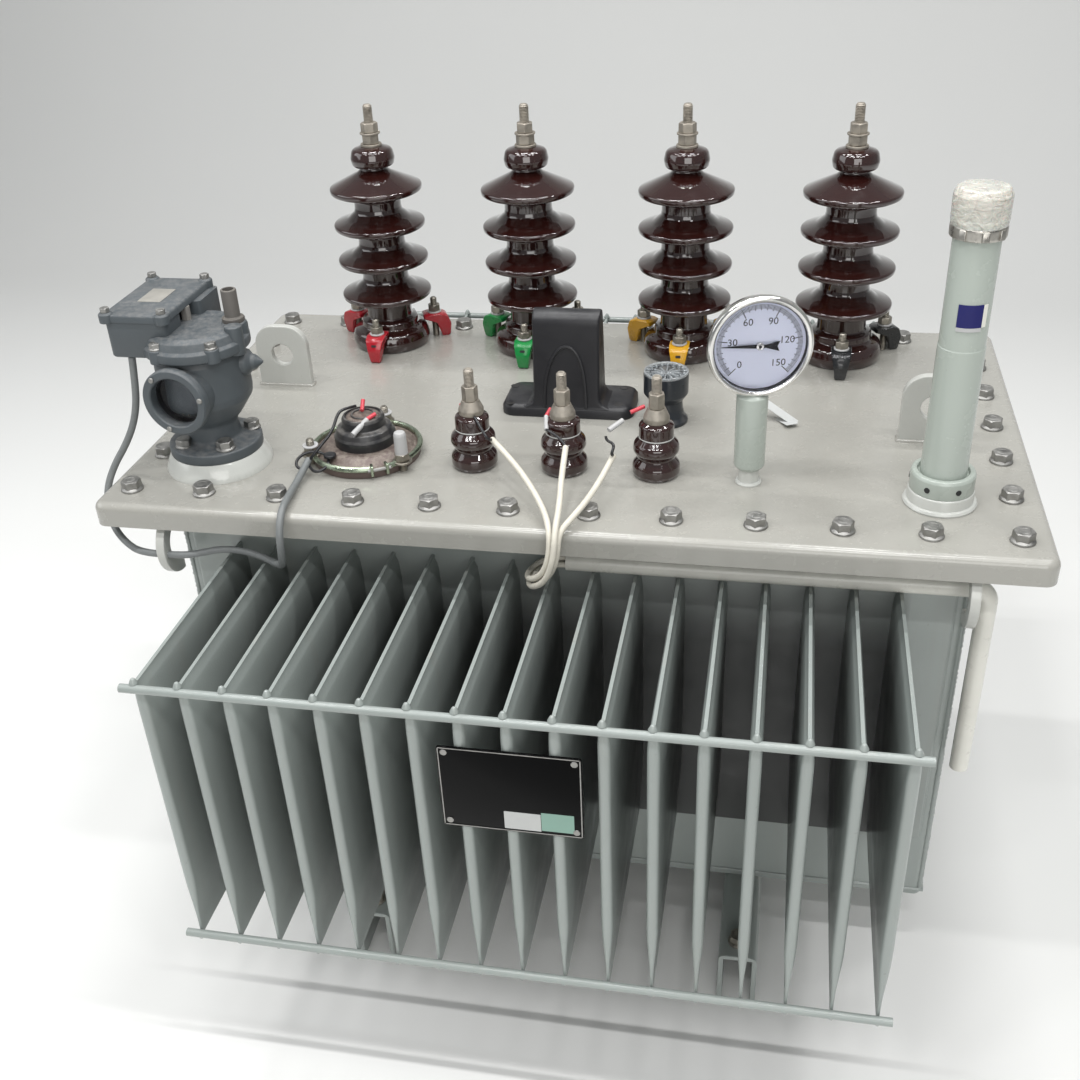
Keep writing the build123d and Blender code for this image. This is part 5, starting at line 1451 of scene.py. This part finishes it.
# Dial thermometer: shift from the solid's middle, highest number, radii of marks and numbers, and length and
# width of the long, middle and short ticks
DIAL_SHIFT = (3.0, 1.0, -2.0)
DIAL_TOP = 150
DIAL_NUMBER_STEP = 30
DIAL_MARK_RADIUS = 43.8
DIAL_NUMBER_RADIUS = 28.0
DIAL_NUMBER_SIZE = 10.5
DIAL_TICKS = ((10.5, 0.9), (6.4, 0.7), (5.0, 0.5))
# Folded tag: length, place, turn and dip of its two leaves
TAG_FOLDS = ((46, (233, -4, 610), -24, 24), (30, (240, -12, 604), -62, -10))


def numeral(text, size, finish):
    """A number as flat raised ink in the local XY plane, centred on the origin."""
    curve = bpy.data.curves.new("numeral", "FONT")
    curve.body = text
    curve.size = size
    curve.align_x = "CENTER"
    curve.align_y = "CENTER"
    curve.extrude = 0.03
    curve.resolution_u = 3
    holder = bpy.data.objects.new("numeral", curve)
    mesh = bpy.data.meshes.new_from_object(holder)
    form = Form([vertex.co for vertex in mesh.vertices], [tuple(p.vertices) for p in mesh.polygons], finish)
    bpy.data.objects.remove(holder)
    return form


class TRANSFORMER_OT_thermometer(bpy.types.Operator):
    """Build the dial thermometer: bezel, face, marks, numbers, pointer, glass and stem"""

    bl_idname = "transformer.thermometer"
    bl_label = "Dial thermometer"

    def execute(self, context):
        values = settings("dial")
        case_low, case_high = node_box("thermometer_case")
        middle = (case_low + case_high) / 2 + Vector(DIAL_SHIFT)
        turn = values.turn
        place = facing(middle, (sin(turn), -cos(turn), 0))
        case = turned([(0, -7), (46, -7, 3), (50, -5, 2), (51, 3, 1.5), (53.2, 4.5, 1.5), (54, 8, 2),
                       (53.6, 12.5, 2), (51.0, 14.5, 2), (48.2, 13.6, 1), (47.4, 11.5, 0.6), (47.4, 6.0),
                       (0, 6.0)], 4, 96)
        # painted shade: a near-black sleeve just inside the bezel's chrome inner wall
        shade_sleeve = lathe([(47.3, 6.0), (47.3, 11.4), (46.9, 11.4), (46.9, 6.0)], 96, 3)
        face = cylinder(47.0, 5.9, 6.4, 72, 1)
        marks = []
        for mark in range(DIAL_TOP + 1):
            angle = values.first_angle - values.sweep * mark / DIAL_TOP
            long, bold = DIAL_TICKS[0 if mark % DIAL_NUMBER_STEP == 0 else 1 if mark % 5 == 0 else 2]
            tick = slab(rectangle(long, bold, 0.05, DIAL_MARK_RADIUS - long / 2, 0), 6.4, 6.5, 0, 2)
            marks.append(tick.at(Matrix.Rotation(angle, 4, "Z")))
        for mark in range(0, DIAL_TOP + 1, DIAL_NUMBER_STEP):
            angle = values.first_angle - values.sweep * mark / DIAL_TOP
            x, y = DIAL_NUMBER_RADIUS * cos(angle), DIAL_NUMBER_RADIUS * sin(angle)
            marks.append(numeral(str(mark), DIAL_NUMBER_SIZE, 2).at(spot(x, y, 6.45)))
        pointing = values.first_angle - values.sweep * values.reading / DIAL_TOP
        needle = [(-20, -5.4), (-17.5, 0), (-20, 5.4), (-6, 1.6), (0, 2.2), (39, 0.35), (39, -0.35),
                  (0, -2.2), (-6, -1.6)]
        pointer = slab(needle[::-1], 8.6, 9.3, 0, 2).at(Matrix.Rotation(pointing, 4, "Z"))
        boss = turned([(0, 6.4), (4.0, 6.4), (4.0, 10.0, 0.6), (0, 10.4)], 3, 28)
        pin = cylinder(1.6, 10.3, 10.9, 20, 2)
        make_piece("dial_case", joined([case, shade_sleeve, face, pointer, boss, pin] + marks).at(place),
                   ["chrome", "face", "ink", "dark"], ["thermometer_case"])
        pane = cylinder(47.3, 11.2, 11.9, 72)
        make_piece("dial_pane", pane.at(place), ["glass"], ["thermometer_glass"])
        nipple = turned([(0, 0), (11, 0), (11, 17.5, 0.8), (0, 17.5)], 4, 48, 1)
        stem = turned([(0, 17.5), (12.5, 17.5, 1), (16.4, 22, 3), (16.4, 102, 2), (12, 106, 1), (12, 108),
                       (0, 108)], 4, 48)
        collar = tube(ring_path(11.6, 1.0, 36), 2.6, 8, 1, closed=True)
        make_piece("dial_stem", joined([stem, nipple, collar]).at(standing("thermometer_stem")),
                   ["gauge", "stub"], ["thermometer_stem"])
        tag = []
        for long, corner, heading, dip in TAG_FOLDS:
            at = spot(*corner, heading) @ Matrix.Rotation(radians(dip), 4, "Y")
            tag.append(slab(rectangle(long, 15, 1), 0, 0.5).at(at))
        make_piece("folded_tag", joined(tag), ["paper"])
        return {"FINISHED"}


# Oil gauge
def curved_strip(inner, outer, middle, half):
    """Outline of a strip bent round the axis, about a middle direction, in degrees."""
    turns = [middle + half * k / 8 for k in range(-8, 9)]
    return [polar(outer, a) for a in turns] + [polar(inner, a) for a in turns[::-1]]


class TRANSFORMER_OT_oil_gauge(bpy.types.Operator):
    """Build the oil gauge: stub, collar, tube, window, hose band and wrapped cap"""

    bl_idname = "transformer.oil_gauge"
    bl_label = "Oil gauge"

    def execute(self, context):
        place = standing("gauge_stub")
        stub = joined([turned([(0, 0), (33.5, 0), (33.5, 17, 2), (0, 17)], 3, 64),
                       tube(ring_path(34, 1.5, 72), 3.4, 8, closed=True)])
        make_piece("gauge_weld_stub", stub.at(place), ["stub"], ["gauge_stub"])
        tube_form = turned([(0, 16), (32.5, 16.5, 1.5), (32.5, 34, 2), (31, 37.5, 2), (26, 37.5, 1),
                            (25.5, 33, 1), (23.2, 34, 1), (22.6, 172, 0.5), (22.0, 173, 0.5), (22.0, 281),
                            (0, 281)], 4, 72)
        screws = [cylinder(3.0, 0, 0.8, 16, 1).at(facing((*polar(32.2, a), 26), (*polar(1, a), 0)))
                  for a in (-122, -66, 10, 90, 170)]
        make_piece("gauge_column", joined([tube_form] + screws).at(place), ["gauge", "black"],
                   ["gauge_tube"], sharp=38)
        window = curved_strip(22.0, 22.9, -88, 30)
        grey = curved_strip(22.6, 23.1, -52, 6)
        blue = slab(window, 197.5, 219.8, 0.2, 0)
        band = slab(window, 193.6, 197.4, 0.2, 1)
        make_piece("gauge_blue_window", joined([blue, band, slab(grey, 197.5, 219.8, 0.1, 2)]).at(place),
                   ["blue", "white_cap", "conduit"], ["gauge_window"])
        ring = turned([(22.0, 279.5), (25.6, 279.5, 1), (25.9, 282, 1), (25.9, 289, 1), (25.6, 291, 1),
                       (22.0, 291)], 3, 64, 1, closed=True)
        blocks = [slab(rectangle(7, 5, 1), 280.5, 290, 0.8, 1).at(spot(turn=a) @ spot(0, -25))
                  for a in (-38, 8, 46, 120, 200)]
        cap = turned([(0, 290), (25.4, 290, 1), (26.2, 295, 2), (26.4, 318, 3), (23, 325, 4), (0, 325)], 5,
                     72)
        make_piece("gauge_wrapped_cap", joined([cap, ring] + blocks).at(place), ["film", "bare"],
                   ["gauge_cap"], sharp=40)
        return {"FINISHED"}


# Nameplate
class TRANSFORMER_OT_nameplate(bpy.types.Operator):
    """Fit the blank gloss nameplate with its rim, screws and two blank stickers"""

    bl_idname = "transformer.nameplate"
    bl_label = "Nameplate"

    def execute(self, context):
        low, high = node_box("nameplate")
        width, height = high.x - low.x, high.z - low.z
        place = facing(((low.x + high.x) / 2, high.y, (low.z + high.z) / 2), (0, -1, 0))
        plate = slab(rectangle(width, height, 3), 0, 1.9, 0.5)
        bars = [(width - 2, 1.1, 0, side * (height / 2 - 1.6)) for side in (-1, 1)]
        bars += [(1.1, height - 2, side * (width / 2 - 1.6), 0) for side in (-1, 1)]
        rim = [slab(rectangle(long, tall, 0.2, x, y), 1.8, 2.2, 0, 1) for long, tall, x, y in bars]
        screw = turned([(0, 1.8), (3.6, 1.8), (3.2, 2.4, 0.5), (0, 2.45)], 3, 24, 1)
        screws = [screw.at(spot(x * (width / 2 - 7), y * (height / 2 - 7))) for x, y in CORNERS]
        stickers = [slab(rectangle(36, 22, 0.4, 10, -35), 1.9, 2.05, 0, 2),
                    slab(rectangle(32, 23, 0.4, 44.5, -33), 1.9, 2.1, 0, 3)]
        make_piece("blank_nameplate", joined([plate] + rim + screws + stickers).at(place),
                   ["plate", "dull_zinc", "paper", "mint"], ["nameplate"])
        return {"FINISHED"}


# Conduit
class TRANSFORMER_OT_conduit(bpy.types.Operator):
    """Finish the conduit pipe"""

    bl_idname = "transformer.conduit"
    bl_label = "Conduit"

    def execute(self, context):
        dress("conduit_pipe", "conduit")
        return {"FINISHED"}


OPERATORS = (TRANSFORMER_OT_stage, TRANSFORMER_OT_cables, TRANSFORMER_OT_tank, TRANSFORMER_OT_fins,
             TRANSFORMER_OT_cover, TRANSFORMER_OT_hv_bushings, TRANSFORMER_OT_hv_clamps,
             TRANSFORMER_OT_lv_bushings, TRANSFORMER_OT_relay, TRANSFORMER_OT_release_device,
             TRANSFORMER_OT_hood, TRANSFORMER_OT_tap_changer, TRANSFORMER_OT_thermometer,
             TRANSFORMER_OT_oil_gauge, TRANSFORMER_OT_nameplate, TRANSFORMER_OT_conduit)


class TRANSFORMER_PT_panel(bpy.types.Panel):
    """Sidebar panel with the settings and one button for each group of pieces"""

    bl_idname = "TRANSFORMER_PT_panel"
    bl_label = "Transformer"
    bl_space_type = "VIEW_3D"
    bl_region_type = "UI"
    bl_category = "Transformer"

    def draw(self, context):
        for name, group in SETTINGS.items():
            box = self.layout.box()
            for prop in group.__annotations__:
                box.prop(getattr(context.scene, name), prop)
        for operator in OPERATORS:
            self.layout.operator(operator.bl_idname)


def register():
    """Register the settings, the operators and the panel."""
    for group in SETTINGS.values():
        bpy.utils.register_class(group)
    for name, group in SETTINGS.items():
        setattr(bpy.types.Scene, name, PointerProperty(type=group))
    for operator in OPERATORS:
        bpy.utils.register_class(operator)
    bpy.utils.register_class(TRANSFORMER_PT_panel)


def unregister():
    """Undo register."""
    bpy.utils.unregister_class(TRANSFORMER_PT_panel)
    for operator in reversed(OPERATORS):
        bpy.utils.unregister_class(operator)
    for name in SETTINGS:
        delattr(bpy.types.Scene, name)
    for group in SETTINGS.values():
        bpy.utils.unregister_class(group)


def main():
    """Register the settings, operators and panel, and build every piece in order."""
    register()
    for operator in OPERATORS:
        group, name = operator.bl_idname.split(".")
        getattr(getattr(bpy.ops, group), name)()


if __name__ == "__main__":
    main()
